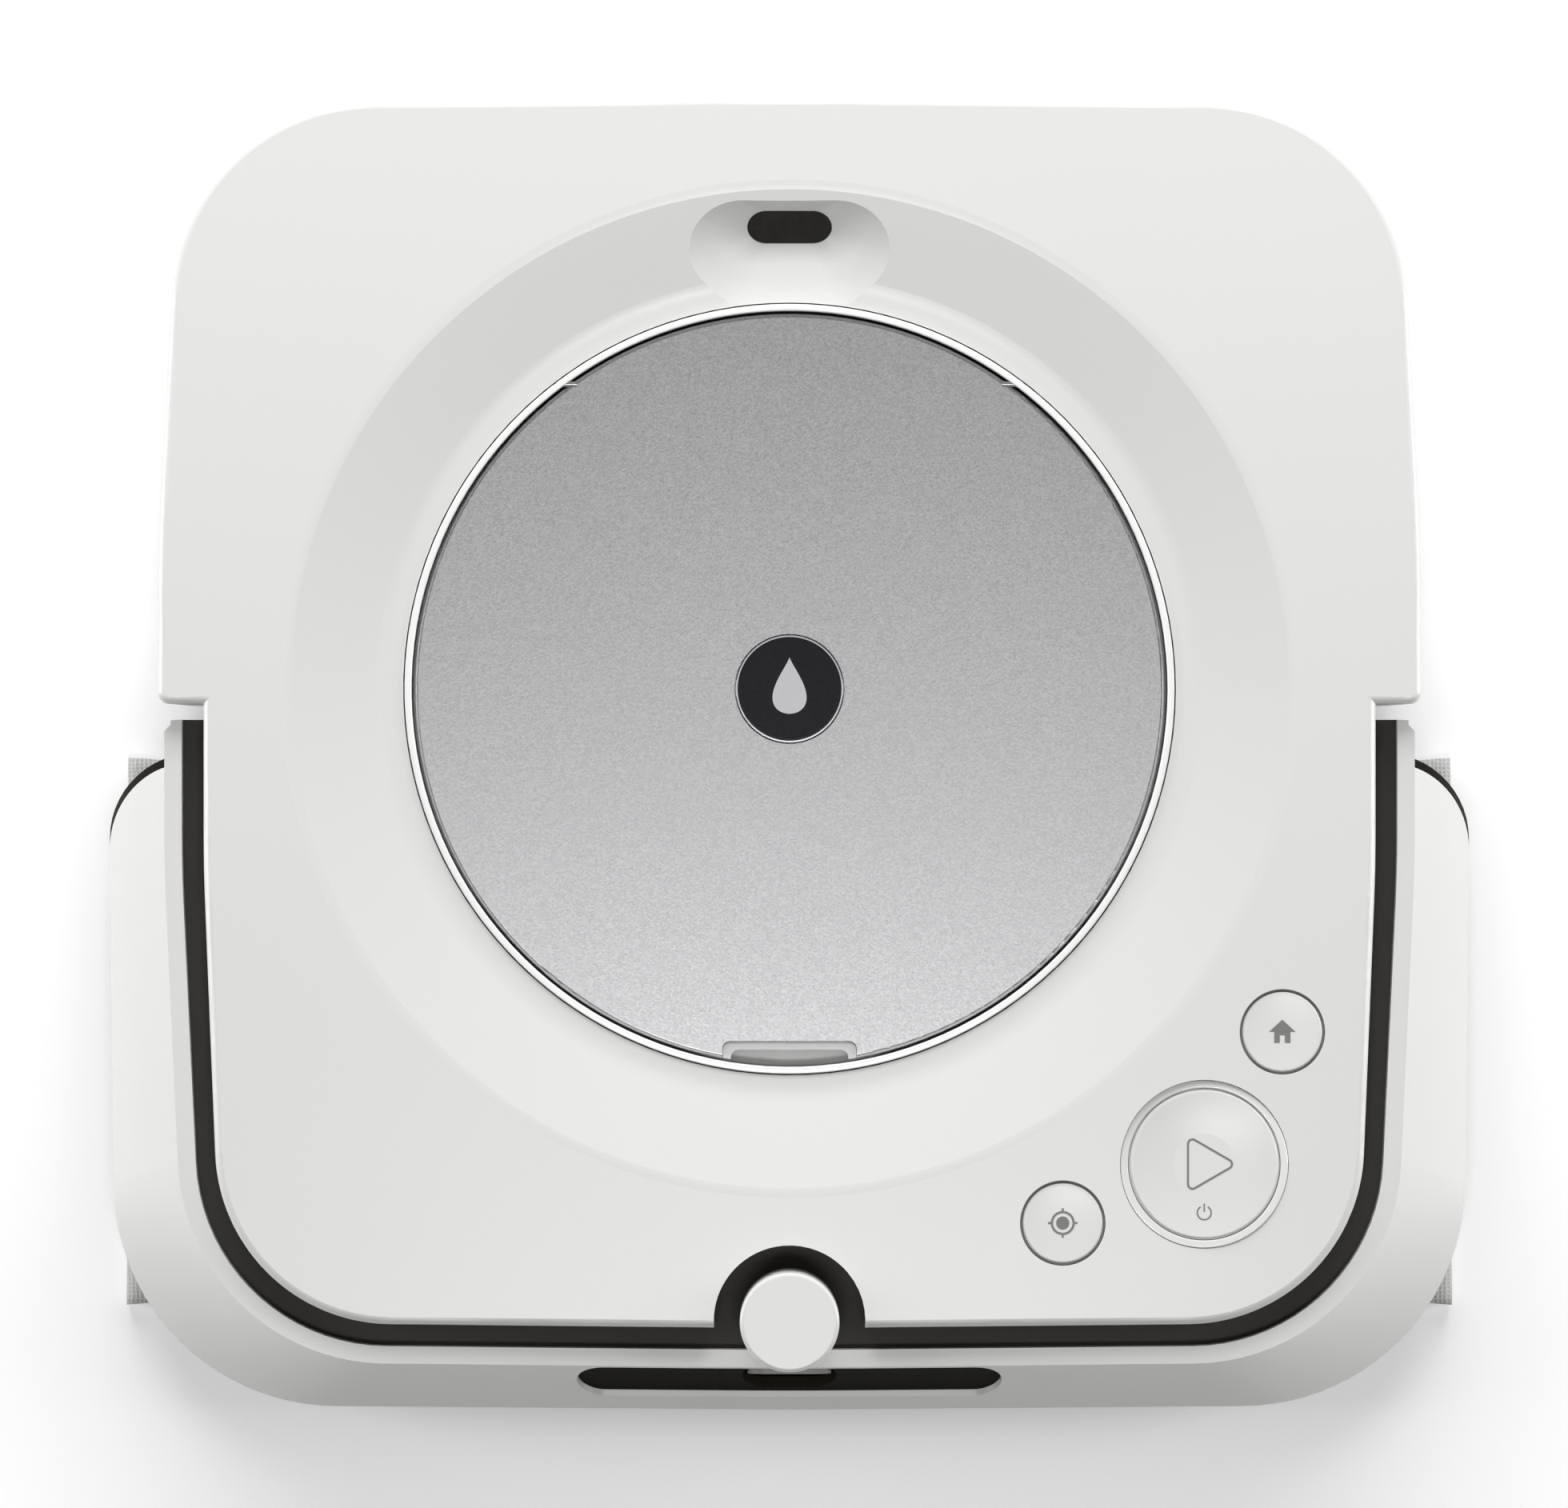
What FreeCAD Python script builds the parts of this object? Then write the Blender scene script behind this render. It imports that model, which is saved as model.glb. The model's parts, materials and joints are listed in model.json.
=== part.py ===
"""A square robot floor mop as an assembly of separate solids, one STEP file for each node.

Millimetres. +Z is up, the front (bumper side) faces -Y, and the origin is on the floor at the
centre of the overall plan. Every outline is symmetric in X unless it says otherwise.
"""
import FreeCAD, Part
import math
import os

V = FreeCAD.Vector
X_AXIS = V(1, 0, 0)
Y_AXIS = V(0, 1, 0)
Z_AXIS = V(0, 0, 1)

# Overall plan of the body: (x, y, corner radius) of the right half, front to rear or rear to front
DECK_HALF_WIDTH = 115.9      # deck beside the bumper rail
BODY_HALF_WIDTH = 125.0      # wide rear half of the body
STEP_Y = 12.4                # where the narrow front deck meets the wide rear body
BODY_REAR_Y = 132.4
WALL = 2.5                   # moulded wall thickness of the shells
FIT = 0.1                    # gap between pieces that are fixed together

# Top cover heights
DECK_TOP = 86.8              # crown of the deck above the lid centre
CROWN_RADIUS = 3000.0
DECK_SKIRT_Z = 74.5          # lower edge of the deck wall along the bumper
REAR_WALL_Z = 10.0           # lower edge of the rear wall
DECK_EDGE_ROUND = 1.6
DOORWAY_HALF_WIDTH = 109.2   # opening in the step wall, where the base pan passes through

# Round recess, lid and tank share one vertical axis
HUB_Y = 15.4
LID_RADIUS = 74.4
LID_TOP = 79.5
LID_THICK = 3.0
RIM_INNER = 74.95            # white rim of the tank, around the lid
RIM_OUTER = 76.3
RIM_TOP = 80.1
DECK_HOLE_RADIUS = 76.6
BOWL_FLOOR_RADIUS = 78.0
BOWL_FLOOR_Z = 79.3
BOWL_OUTER_RADIUS = 99.6
BOWL_FILLET = 14.0           # concave fillet between the recess's floor and its cone
BOWL_SLOPE = math.radians(16.6)
BOWL_EDGE_ROUND = 6.0
BOWL_THICK = 3.0

# Bumper
BUMPER_REAR_Y = 9.3
BUMPER_TRAVEL = 2.6
RAIL_TOP = 77.0
RAIL_WIDTH = 3.45
BAND_TOP = 73.0
BAND_BOTTOM = 70.5
BAND_LAP = 3.0               # how far the band reaches in under the deck's edge
FLARE_TOP = 46.0
FLARE_BOTTOM = 15.5
FLARE_POWER = 1.8
TRIM_BOTTOM = 12.5
SLOT_HALF_WIDTH = 43.4
SLOT_LOW = 19.5
SLOT_HIGH = 31.2
POST_Y = -109.6
POST_RADIUS = 9.85
POST_TOP = 89.0
POST_CAP_Z = 84.0
ARCH_RADIUS = 15.0

# Base pan
PAN_BOTTOM = 12.0
PAN_TOP = 14.5
WELL_IN = 56.5               # wheel well: opening in the pan's floor
WELL_OUT = 115.0
WELL_FRONT_Y = 15.5
WELL_REAR_Y = 92.0
HATCH_HALF_WIDTH = 48.0      # battery hatch
HATCH_FRONT_Y = 24.0
HATCH_REAR_Y = 76.0
PAN_WALL_TOP = 79.5
PAN_INSET = BAND_LAP + BUMPER_TRAVEL + 1.6   # the pan stays clear of the band at full travel
COLUMN_TOP = 79.0            # upright columns join the pan and the cover
COLUMN_RADIUS = 4.0
RIGHT_COLUMNS = ((112, 98), (50, 121), (98, -16), (34, -95))
SCREW_RADIUS = 1.5

# Tank and bay
BAY_FLOOR = 31.0
BAY_STEP_Z = 66.0
BAY_LOWER_RADIUS = 72.6
BAY_UPPER_RADIUS = 76.8
BAY_TOP = 76.2
BAY_WALL = 2.0
FLANGE_RADIUS = 80.0
TANK_RADIUS = 70.4
TANK_BOTTOM = 33.3
TANK_TOP = 72.0
TANK_WALL = 2.0
PLATE_TOP = 74.2
GRIP_WELL = (30.0, -42.0, -4.0, 58.0, 2.0)     # half width, front, rear, floor, wall thickness
GRIP_BAR_FRONT_Y = -27.0
GRIP_BAR_REAR_Y = -19.0
HINGE_Y = 75.8               # the lid's hinge line, level with its top so that it clears the rim
HINGE_Z = 79.3
STUB_RADIUS = 0.55           # stub pins on the lid's edge, turning in holes in the rim
STUB_IN = 42.2
STUB_OUT = 45.8
PIN_RADIUS = 1.0
RUNNING = 0.05               # radial clearance of a pin or shaft that turns
TAIL_ROOM_Y = 71.0           # the lid's tail drops into the space behind this
TAIL_ROOM_Z = 64.2
NOTCH_HALF_WIDTH = 13.35
NOTCH_DEPTH = 4.6
NOTCH_CORNER = 1.6
CLEAR_BAND = 1.7
FILLER_X = -34.0
FILLER_Y = 18.0
CAP_RADIUS = 14.0
OUTLET_Y = -44.0

# Camera dish behind the lid
DISH_Y = 101.2
DISH_HALF_WIDTH = 20.9
DISH_HALF_DEPTH = 10.95
DISH_MIDDLE_Z = 82.2
DISH_TILT = 76.4             # the dish's mouth lies along the recess's slope
WINDOW_Y = 107.0
WINDOW_Z = 77.9
WINDOW_TILT = 55.0           # tipped back from upright
WINDOW_HALF_WIDTH = 8.3
WINDOW_HALF_HEIGHT = 3.7

# Buttons: name, x, y, hole radius in the cover, hole radius around the button, cap radius, dish depth
BUTTONS = (
    ("home", 97.4, -52.4, 8.45, 8.45, 7.9, 0.35),
    ("spot", 54.0, -90.2, 8.45, 8.45, 7.9, 0.35),
    ("main", 82.0, -78.6, 16.7, 15.05, 14.7, 1.1),
)
GROOVE_DEPTH = 0.9
BUTTON_BODY = 1.4
BUTTON_STEM_Z = 77.7
BUTTON_BOARD_TOP = 73.6
BOARD_THICK = 1.6
MAIN_BOARD_Z = 56.0
SWITCH_HEIGHT = 3.0

# Pump
PUMP_Y = -78.0
PUMP_Z = 27.0

# Wheels and suspension (right side; the left is its mirror)
WHEEL_Y = 60.0
WHEEL_RADIUS = 27.0
TYRE_IN = 94.5
TYRE_OUT = 110.5
ARM_IN = 82.0
ARM_OUT = 87.0
PIVOT_Y = 20.0
PIVOT_Z = 34.0
PIVOT_RADIUS = 2.5
EAR_REAR_Y = 23.7            # the pivot ears stop short of the motor when the arm hangs down
EAR_FRONT_Y = 8.0
EAR_GAP = 0.4                # between an arm and the ear beside it
EAR_OUTER_FACE = 5.0         # from the arm's inner face to the far face of the inner ear
EAR_RISE = 5.0               # ear above the pivot
ARM_SLOT_REAR_Y = 25.0
AXLE_RADIUS = 3.0
GEAR_IN = 88.0
GEAR_OUT = 93.0
MODULE = 0.8
GEAR_TEETH = 48
PINION_TEETH = 12
PINION_DROP = 7.8            # height of the wheel axis above the pinion axis
BACKLASH = 0.12
MOTOR_RADIUS = 9.5
MOTOR_IN = 58.5
MOTOR_OUT = 79.5

# Mop pad
PAD_HALF_WIDTH = 139.6
PAD_REAR_Y = 1.9
PAD_FRONT_Y = -112.2
CLOTH_TOP = 5.0
CARD_TOP = 6.4
TONGUE_HALF_WIDTH = 22.0
HEAD_HALF_WIDTH = 29.0
HEAD_BOTTOM = 8.6
HEAD_TOP = 10.6
LIP_HALF_GAP = 23.0
RAIL_HALF_GAP = 30.0
RAIL_OUTSIDE = 34.0
RAIL_FRONT_Y = -90.0

# Pad release
STRIP_BOTTOM = 28.3
STRIP_TOP = 30.2
STRIP_FRONT_Y = -18.2
EJECT_Z = 26.0
LATCH_PIVOT_Y = -20.0
LATCH_PIVOT_Z = 19.2
LATCH_EARS_X = (-8.0, 5.2)
LATCH_EAR_THICK = 2.8
LATCH_EAR_REACH = 4.0
LATCH_SLOT_HALF_WIDTH = 4.6


# ---------------------------------------------------------------- shape helpers
def box(x0, x1, y0, y1, z0, z1):
    return Part.makeBox(x1 - x0, y1 - y0, z1 - z0, V(x0, y0, z0))


def cylinder(radius, base, height, axis=Z_AXIS):
    return Part.makeCylinder(radius, height, V(*base), axis)


def ring(outer, inner, x, y, z0, z1):
    return cylinder(outer, (x, y, z0), z1 - z0).cut(cylinder(inner, (x, y, z0 - 1), z1 - z0 + 2))


def fuse(shapes):
    joined = shapes[0].fuse(shapes[1:]) if len(shapes) > 1 else shapes[0]
    return joined.removeSplitter()


def mirror_x(shape):
    return shape.mirror(V(0, 0, 0), X_AXIS)


def both_sides(shape):
    return [shape, mirror_x(shape)]


def rounded_wire(points, z):
    """A closed wire through (x, y, radius) corners, with a tangent arc at each rounded corner."""
    edges = []
    spans = []
    count = len(points)
    for i in range(count):
        x, y, radius = points[i]
        before = V(*points[i - 1][:2], 0) - V(x, y, 0)
        after = V(*points[(i + 1) % count][:2], 0) - V(x, y, 0)
        corner = V(x, y, z)
        if radius <= 0:
            spans.append((corner, None, corner))
            continue
        before.normalize()
        after.normalize()
        half = before.getAngle(after) / 2
        reach = radius / math.tan(half)
        middle = before + after
        middle.normalize()
        to_arc = radius / math.sin(half) - radius
        spans.append((corner + before * reach, corner + middle * to_arc, corner + after * reach))
    for i in range(count):
        start, arc_middle, end = spans[i]
        if arc_middle is not None:
            edges.append(Part.Arc(start, arc_middle, end).toShape())
        following = spans[(i + 1) % count][0]
        if end.distanceToPoint(following) > 1e-6:
            edges.append(Part.makeLine(end, following))
    return Part.Wire(edges)


def symmetric(right_side):
    """The right half's corners, then their mirror images in reverse order."""
    left_side = [(-x, y, radius) for x, y, radius in reversed(right_side) if x > 0]
    return list(right_side) + left_side


def prism(points, z0, z1):
    return Part.Face(rounded_wire(points, z0)).extrude(V(0, 0, z1 - z0))


def inset_prism(points, inset, z0, z1):
    face = Part.Face(rounded_wire(points, z0))
    return face.makeOffset2D(-inset, 2).extrude(V(0, 0, z1 - z0))


def turned(profile, x, y):
    """A solid turned about the vertical axis through (x, y), from (radius, z) points in order."""
    points = [V(x + radius, y, z) for radius, z in profile]
    face = Part.Face(Part.makePolygon(points + points[:1]))
    return face.revolve(V(x, y, 0), Z_AXIS, 360)


def stadium_prism(half_width, half_height, depth):
    """A pill shape in the XZ plane about the origin, reaching from y = 0 to y = depth."""
    flat = half_width - half_height
    middle = box(-flat, flat, 0, depth, -half_height, half_height)
    ends = [cylinder(half_height, (x, 0, 0), depth, Y_AXIS) for x in (-flat, flat)]
    return fuse([middle] + ends)


def crown(drop):
    """Everything under the crowned deck surface lowered by drop; its poles and seam are far away."""
    ball = Part.makeSphere(CROWN_RADIUS, V(0, 0, 0), Y_AXIS)
    ball.rotate(V(0, 0, 0), Y_AXIS, 180)
    ball.translate(V(0, HUB_Y, DECK_TOP - drop - CROWN_RADIUS))
    return ball


def deck_height(x, y):
    sag = CROWN_RADIUS - math.sqrt(CROWN_RADIUS**2 - x**2 - (y - HUB_Y) ** 2)
    return DECK_TOP - sag


# ---------------------------------------------------------------- outlines
def rear_outline():
    return symmetric(
        [
            (0, BODY_REAR_Y, 1500),
            (120.3, 131.3, 40),
            (BODY_HALF_WIDTH, 44, 300),
            (BODY_HALF_WIDTH, STEP_Y, 2.2),
        ]
    )


def deck_outline():
    return symmetric(
        [
            (0, -111.1, 1500),
            (112.4, -110.1, 35),
            (DECK_HALF_WIDTH, -20, 300),
            (DECK_HALF_WIDTH, STEP_Y + 12, 0),
        ]
    )


def rail_outline(grow, rear_y=BUMPER_REAR_Y):
    """The bumper's vertical face, moved outwards by grow."""
    return symmetric(
        [
            (0, -119.3 - grow, 1500),
            (119.6 + grow, -118.1 - grow, 41.5 + grow),
            (124.1 + grow, -20, 300),
            (124.1 + grow, rear_y, 0),
        ]
    )


def flare_outline(share, inset, rear_y):
    """The skirt's outline, share of the way from the bumper's face to its lower edge."""
    rail = rail_outline(-inset, rear_y)
    foot = symmetric(
        [
            (0, -132.3 + inset, 1500),
            (138.4 - inset, -131.2 + inset, 46 - inset),
            (139.7 - inset, -20, 300),
            (139.7 - inset, rear_y, 0),
        ]
    )
    return [
        tuple(a + (b - a) * share for a, b in zip(corner, low)) for corner, low in zip(rail, foot)
    ]


def flare_share(z):
    return ((FLARE_TOP - z) / (FLARE_TOP - FLARE_BOTTOM)) ** FLARE_POWER


def bumper_body(inset, z_low, z_high, rear_y):
    """The bumper's full outer form: a vertical face above a concave flared skirt."""
    levels = [FLARE_TOP - (FLARE_TOP - z_low) * i / 6 for i in range(7)]
    wires = [rounded_wire(flare_outline(flare_share(z), inset, rear_y), z) for z in levels]
    skirt = Part.makeLoft(wires, True, False)
    face = prism(rail_outline(-inset, rear_y), FLARE_TOP, z_high)
    return skirt.fuse(face)


# ---------------------------------------------------------------- top cover
def bowl_space(lower, outer, top):
    """The space above the recess's floor, fillet and cone, lowered, out to a radius."""
    floor_z = BOWL_FLOOR_Z - lower
    fillet_middle = V(BOWL_FLOOR_RADIUS, HUB_Y, floor_z + BOWL_FILLET)

    def on_fillet(angle):
        return fillet_middle + V(BOWL_FILLET * math.sin(angle), 0, -BOWL_FILLET * math.cos(angle))

    start = on_fillet(0)
    cone_start = on_fillet(BOWL_SLOPE)
    cone_rise = (outer - cone_start.x) * math.tan(BOWL_SLOPE)
    cone_end = V(outer, HUB_Y, cone_start.z + cone_rise)
    edges = [
        Part.makeLine(V(0, HUB_Y, floor_z), start),
        Part.Arc(start, on_fillet(BOWL_SLOPE / 2), cone_start).toShape(),
        Part.makeLine(cone_start, cone_end),
        Part.makeLine(cone_end, V(outer, HUB_Y, top)),
        Part.makeLine(V(outer, HUB_Y, top), V(0, HUB_Y, top)),
        Part.makeLine(V(0, HUB_Y, top), V(0, HUB_Y, floor_z)),
    ]
    face = Part.Face(Part.Wire(edges))
    return face.revolve(V(0, HUB_Y, 0), Z_AXIS, 360)


def dish_prism(grow, z0, z1):
    """The dish's pill-shaped outline, grown all round."""
    wide = DISH_HALF_WIDTH + grow
    deep = DISH_HALF_DEPTH + grow
    round_end = deep - 0.01
    points = symmetric([(wide, DISH_Y - deep, round_end), (wide, DISH_Y + deep, round_end)])
    return prism(points, z0, z1)


def tipped_pill(half_width, half_height, tilt, y, z):
    """A pill-shaped wire facing forwards, tipped back from upright and centred at (0, y, z)."""
    flat = half_width - half_height
    low = (V(-flat, 0, -half_height), V(flat, 0, -half_height))
    high = (V(flat, 0, half_height), V(-flat, 0, half_height))
    edges = [
        Part.makeLine(*low),
        Part.Arc(low[1], V(half_width, 0, 0), high[0]).toShape(),
        Part.makeLine(*high),
        Part.Arc(high[1], V(-half_width, 0, 0), low[0]).toShape(),
    ]
    wire = Part.Wire(edges)
    wire.rotate(V(0, 0, 0), X_AXIS, -tilt)
    wire.translate(V(0, y, z))
    return wire


def dish_space():
    """The funnel from the dish's outline on the recess's slope down to the camera window."""
    slope = 90 - DISH_TILT
    length = DISH_HALF_DEPTH / math.cos(math.radians(slope))
    mouth = tipped_pill(DISH_HALF_WIDTH, length, DISH_TILT, DISH_Y, DISH_MIDDLE_Z)
    window = tipped_pill(WINDOW_HALF_WIDTH + FIT, WINDOW_HALF_HEIGHT + FIT, WINDOW_TILT, WINDOW_Y, WINDOW_Z)
    funnel = Part.makeLoft([mouth, window], True, True)
    above = Part.Face(mouth).extrude(V(0, 0, 6))
    return [funnel, above]


def place_in_window(shape):
    """Tips a shape made about the XZ plane so that it faces forwards and up at the camera."""
    shape.rotate(V(0, 0, 0), X_AXIS, -WINDOW_TILT)
    shape.translate(V(0, WINDOW_Y, WINDOW_Z))
    return shape


def make_top_cover():
    body = prism(rear_outline(), REAR_WALL_Z, DECK_TOP + 5)
    front = prism(deck_outline(), DECK_SKIRT_Z, DECK_TOP + 5)
    outer = fuse([body, front]).common(crown(0))
    top_edges = [
        e
        for e in outer.Edges
        if e.BoundBox.ZMin > DECK_SKIRT_Z + 5 and e.BoundBox.ZLength < 4
    ]
    outer = outer.makeFillet(DECK_EDGE_ROUND, top_edges)
    outer = outer.cut(bowl_space(0, BOWL_OUTER_RADIUS + 4, DECK_TOP + 5))
    bowl_edges = [
        e
        for e in outer.Edges
        if e.BoundBox.ZLength < 0.01 and abs(e.BoundBox.XMax - BOWL_OUTER_RADIUS) < 1
    ]
    outer = outer.makeFillet(BOWL_EDGE_ROUND, bowl_edges)

    rear_hollow = inset_prism(rear_outline(), WALL, REAR_WALL_Z - 1, DECK_TOP)
    front_hollow = inset_prism(deck_outline(), WALL, DECK_SKIRT_Z - 1, DECK_TOP)
    front_hollow = front_hollow.cut(
        cylinder(ARCH_RADIUS + WALL, (0, POST_Y, DECK_SKIRT_Z - 2), 30)
    )
    hollow = rear_hollow.fuse(front_hollow).common(crown(BOWL_THICK))
    hollow = hollow.cut(bowl_space(BOWL_THICK, BOWL_OUTER_RADIUS + 2.5, DECK_TOP + 5))
    dish_back = dish_prism(BOWL_THICK, WINDOW_Z - 6, DECK_TOP)
    bay_room = cylinder(FLANGE_RADIUS + 0.5, (0, HUB_Y, BAY_FLOOR), BAY_TOP + 0.2 - BAY_FLOOR)
    hollow = hollow.cut(dish_back.cut(bay_room))
    for x, y in column_places():
        hollow = hollow.cut(cylinder(COLUMN_RADIUS, (x, y, COLUMN_TOP), 20))

    cover = outer.cut(hollow)
    doorway = box(-DOORWAY_HALF_WIDTH, DOORWAY_HALF_WIDTH, STEP_Y - 2, STEP_Y + WALL + 2,
                  REAR_WALL_Z - 1, DECK_SKIRT_Z)
    cover = cover.cut(doorway)
    cover = cover.cut(cylinder(DECK_HOLE_RADIUS, (0, HUB_Y, 60), 40))
    cover = cover.cut(cylinder(ARCH_RADIUS, (0, POST_Y, DECK_SKIRT_Z - 2), 30))
    for space in dish_space():
        cover = cover.cut(space)
    window_seat = stadium_prism(WINDOW_HALF_WIDTH + FIT, WINDOW_HALF_HEIGHT + FIT, 10)
    cover = cover.cut(place_in_window(window_seat))
    for _, x, y, hole, *_ in BUTTONS:
        cover = cover.cut(cylinder(hole, (x, y, 70), 30))
    eject_hole = box(-14.3, 14.3, BODY_REAR_Y - 6, BODY_REAR_Y + 2, EJECT_Z - 5.3, EJECT_Z + 5.3)
    return cover.cut(eject_hole)


# ---------------------------------------------------------------- base pan
def column_places():
    return [(side * x, y) for x, y in RIGHT_COLUMNS for side in (-1, 1)]


def pan_front(inset, z0, z1):
    form = inset_prism(deck_outline(), PAN_INSET + inset, z0, z1)
    return form.cut(cylinder(ARCH_RADIUS + PAN_INSET + inset, (0, POST_Y, z0 - 1), z1 - z0 + 2))


def make_base_pan():
    rear_floor = inset_prism(rear_outline(), WALL + FIT, PAN_BOTTOM, PAN_TOP)
    front_floor = inset_prism(deck_outline(), PAN_INSET, PAN_BOTTOM, PAN_TOP)
    pieces = [rear_floor, front_floor.cut(box(-140, 140, STEP_Y + 10, 60, 0, 90))]
    ears_in = ARM_IN - EAR_OUTER_FACE
    ears_out = ARM_OUT + EAR_OUTER_FACE - EAR_GAP
    ear_in = box(ears_in, ARM_IN - EAR_GAP, EAR_FRONT_Y, EAR_REAR_Y, PAN_BOTTOM, PIVOT_Z + EAR_RISE)
    ear_out = box(ARM_OUT + EAR_GAP, ears_out, EAR_FRONT_Y, EAR_REAR_Y, PAN_BOTTOM, PIVOT_Z + EAR_RISE)
    for ear in (ear_in, ear_out):
        pieces.extend(both_sides(ear))
    for x in LATCH_EARS_X:
        pieces.append(box(x, x + LATCH_EAR_THICK, LATCH_PIVOT_Y - LATCH_EAR_REACH,
                          LATCH_PIVOT_Y + LATCH_EAR_REACH, PAN_BOTTOM, LATCH_PIVOT_Z + LATCH_EAR_REACH))
    pan = fuse(pieces)

    under = PAN_BOTTOM - 1
    over = PAN_TOP + 1
    well = box(WELL_IN, WELL_OUT, WELL_FRONT_Y, WELL_REAR_Y, under, PAN_TOP + 0.01)
    ear_feet = box(ears_in, ears_out, EAR_FRONT_Y, EAR_REAR_Y, under, over)
    arm_gap = box(ARM_IN - EAR_GAP, ARM_OUT + EAR_GAP, EAR_FRONT_Y, ARM_SLOT_REAR_Y, under - 1, over + 1)
    well = well.cut(ear_feet.cut(arm_gap))
    for opening in both_sides(well):
        pan = pan.cut(opening)
    pan = pan.cut(box(-HATCH_HALF_WIDTH, HATCH_HALF_WIDTH, HATCH_FRONT_Y, HATCH_REAR_Y, under, over))
    pan = pan.cut(box(-LATCH_SLOT_HALF_WIDTH, LATCH_SLOT_HALF_WIDTH, LATCH_PIVOT_Y - 3, LATCH_PIVOT_Y + 11,
                      under, over))
    pivot_hole = cylinder(PIVOT_RADIUS, (70, PIVOT_Y, PIVOT_Z), 30, X_AXIS)
    for hole in both_sides(pivot_hole):
        pan = pan.cut(hole)
    pan = pan.cut(cylinder(PIN_RADIUS, (-9, LATCH_PIVOT_Y, LATCH_PIVOT_Z), 18, X_AXIS))
    for x, y in column_places():
        pan = pan.cut(cylinder(SCREW_RADIUS, (x, y, PAN_BOTTOM - 1), 14))
    return pan


def make_front_frame():
    """The upright wall behind the bumper, standing on the base pan."""
    wall = pan_front(0, PAN_TOP, PAN_WALL_TOP).cut(pan_front(2.0, PAN_TOP - 1, PAN_WALL_TOP + 1))
    wall = wall.cut(box(-140, 140, STEP_Y - 1.5, 60, PAN_TOP - 1, 90))
    nozzle_hole = box(-11, 11, -112, -78, PAN_TOP + 0.1, 34)
    return wall.cut(nozzle_hole)


def make_columns():
    """Turned columns between the base pan and the cover, each with a hole for its screw."""
    columns = []
    for x, y in column_places():
        column = cylinder(COLUMN_RADIUS, (x, y, PAN_TOP), COLUMN_TOP - PAN_TOP)
        columns.append(column.cut(cylinder(SCREW_RADIUS, (x, y, PAN_TOP - 1), 11)))
    return Part.makeCompound(columns)


def make_pad_rails():
    stem = box(RAIL_HALF_GAP, RAIL_OUTSIDE, RAIL_FRONT_Y, -2, 6.9, PAN_BOTTOM)
    lip = box(LIP_HALF_GAP, RAIL_HALF_GAP + 1, RAIL_FRONT_Y, -2, 6.9, HEAD_BOTTOM - 0.3)
    right = fuse([stem, lip])
    return Part.makeCompound(both_sides(right))


def make_base_screws():
    screws = []
    for x, y in column_places():
        head = cylinder(3.2, (x, y, PAN_BOTTOM - 1.4), 1.4)
        shank = cylinder(1.45, (x, y, PAN_BOTTOM - 1), 12)
        screws.append(fuse([head, shank]))
    return Part.makeCompound(screws)


# ---------------------------------------------------------------- tank bay and tank
def make_tank_bay():
    lower = ring(BAY_LOWER_RADIUS + BAY_WALL, BAY_LOWER_RADIUS, 0, HUB_Y, BAY_FLOOR, BAY_STEP_Z)
    floor = cylinder(BAY_LOWER_RADIUS + BAY_WALL, (0, HUB_Y, BAY_FLOOR), BAY_WALL)
    step = ring(BAY_UPPER_RADIUS + BAY_WALL, BAY_LOWER_RADIUS, 0, HUB_Y, BAY_STEP_Z - 2, BAY_STEP_Z)
    upper = ring(BAY_UPPER_RADIUS + BAY_WALL, BAY_UPPER_RADIUS, 0, HUB_Y, BAY_STEP_Z - 2, BAY_TOP)
    flange = ring(FLANGE_RADIUS, BAY_UPPER_RADIUS, 0, HUB_Y, BAY_TOP - 2, BAY_TOP)
    bay = fuse([lower, floor, step, upper, flange])
    return bay.cut(cylinder(5.0, (0, OUTLET_Y, BAY_FLOOR - 1), 4))


def make_tank_seal():
    return ring(4.9, 2.6, 0, OUTLET_Y, BAY_FLOOR, BAY_FLOOR + 2.2)


def make_water_tank():
    outer = cylinder(TANK_RADIUS, (0, HUB_Y, TANK_BOTTOM), TANK_TOP - TANK_BOTTOM)
    outer = outer.cut(box(-60, 60, TAIL_ROOM_Y, 100, TAIL_ROOM_Z, TANK_TOP + 1))
    inner_height = TANK_TOP - TANK_BOTTOM
    inner = cylinder(TANK_RADIUS - TANK_WALL, (0, HUB_Y, TANK_BOTTOM + TANK_WALL), inner_height)
    tail_wall = box(-60, 60, TAIL_ROOM_Y - TANK_WALL, 100, TAIL_ROOM_Z - TANK_WALL, TANK_TOP + 9)
    inner = inner.cut(tail_wall)
    tank = outer.cut(inner)
    return tank.cut(cylinder(2.6, (0, OUTLET_Y, TANK_BOTTOM - 1), 4))


def make_tank_rim():
    """The upstanding white rim, rounded at the top, with a hole for each of the lid's stub pins."""
    middle = (RIM_INNER + RIM_OUTER) / 2
    rim = turned(
        [
            (RIM_INNER, TANK_TOP),
            (RIM_INNER, RIM_TOP - 0.2),
            (RIM_INNER + 0.2, RIM_TOP - 0.05),
            (middle, RIM_TOP),
            (RIM_OUTER - 0.2, RIM_TOP - 0.05),
            (RIM_OUTER, RIM_TOP - 0.3),
            (RIM_OUTER, TANK_TOP),
        ],
        0,
        HUB_Y,
    )
    stub_holes = cylinder(STUB_RADIUS + RUNNING, (-60, HINGE_Y, HINGE_Z), 120, X_AXIS)
    return rim.cut(stub_holes)


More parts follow.
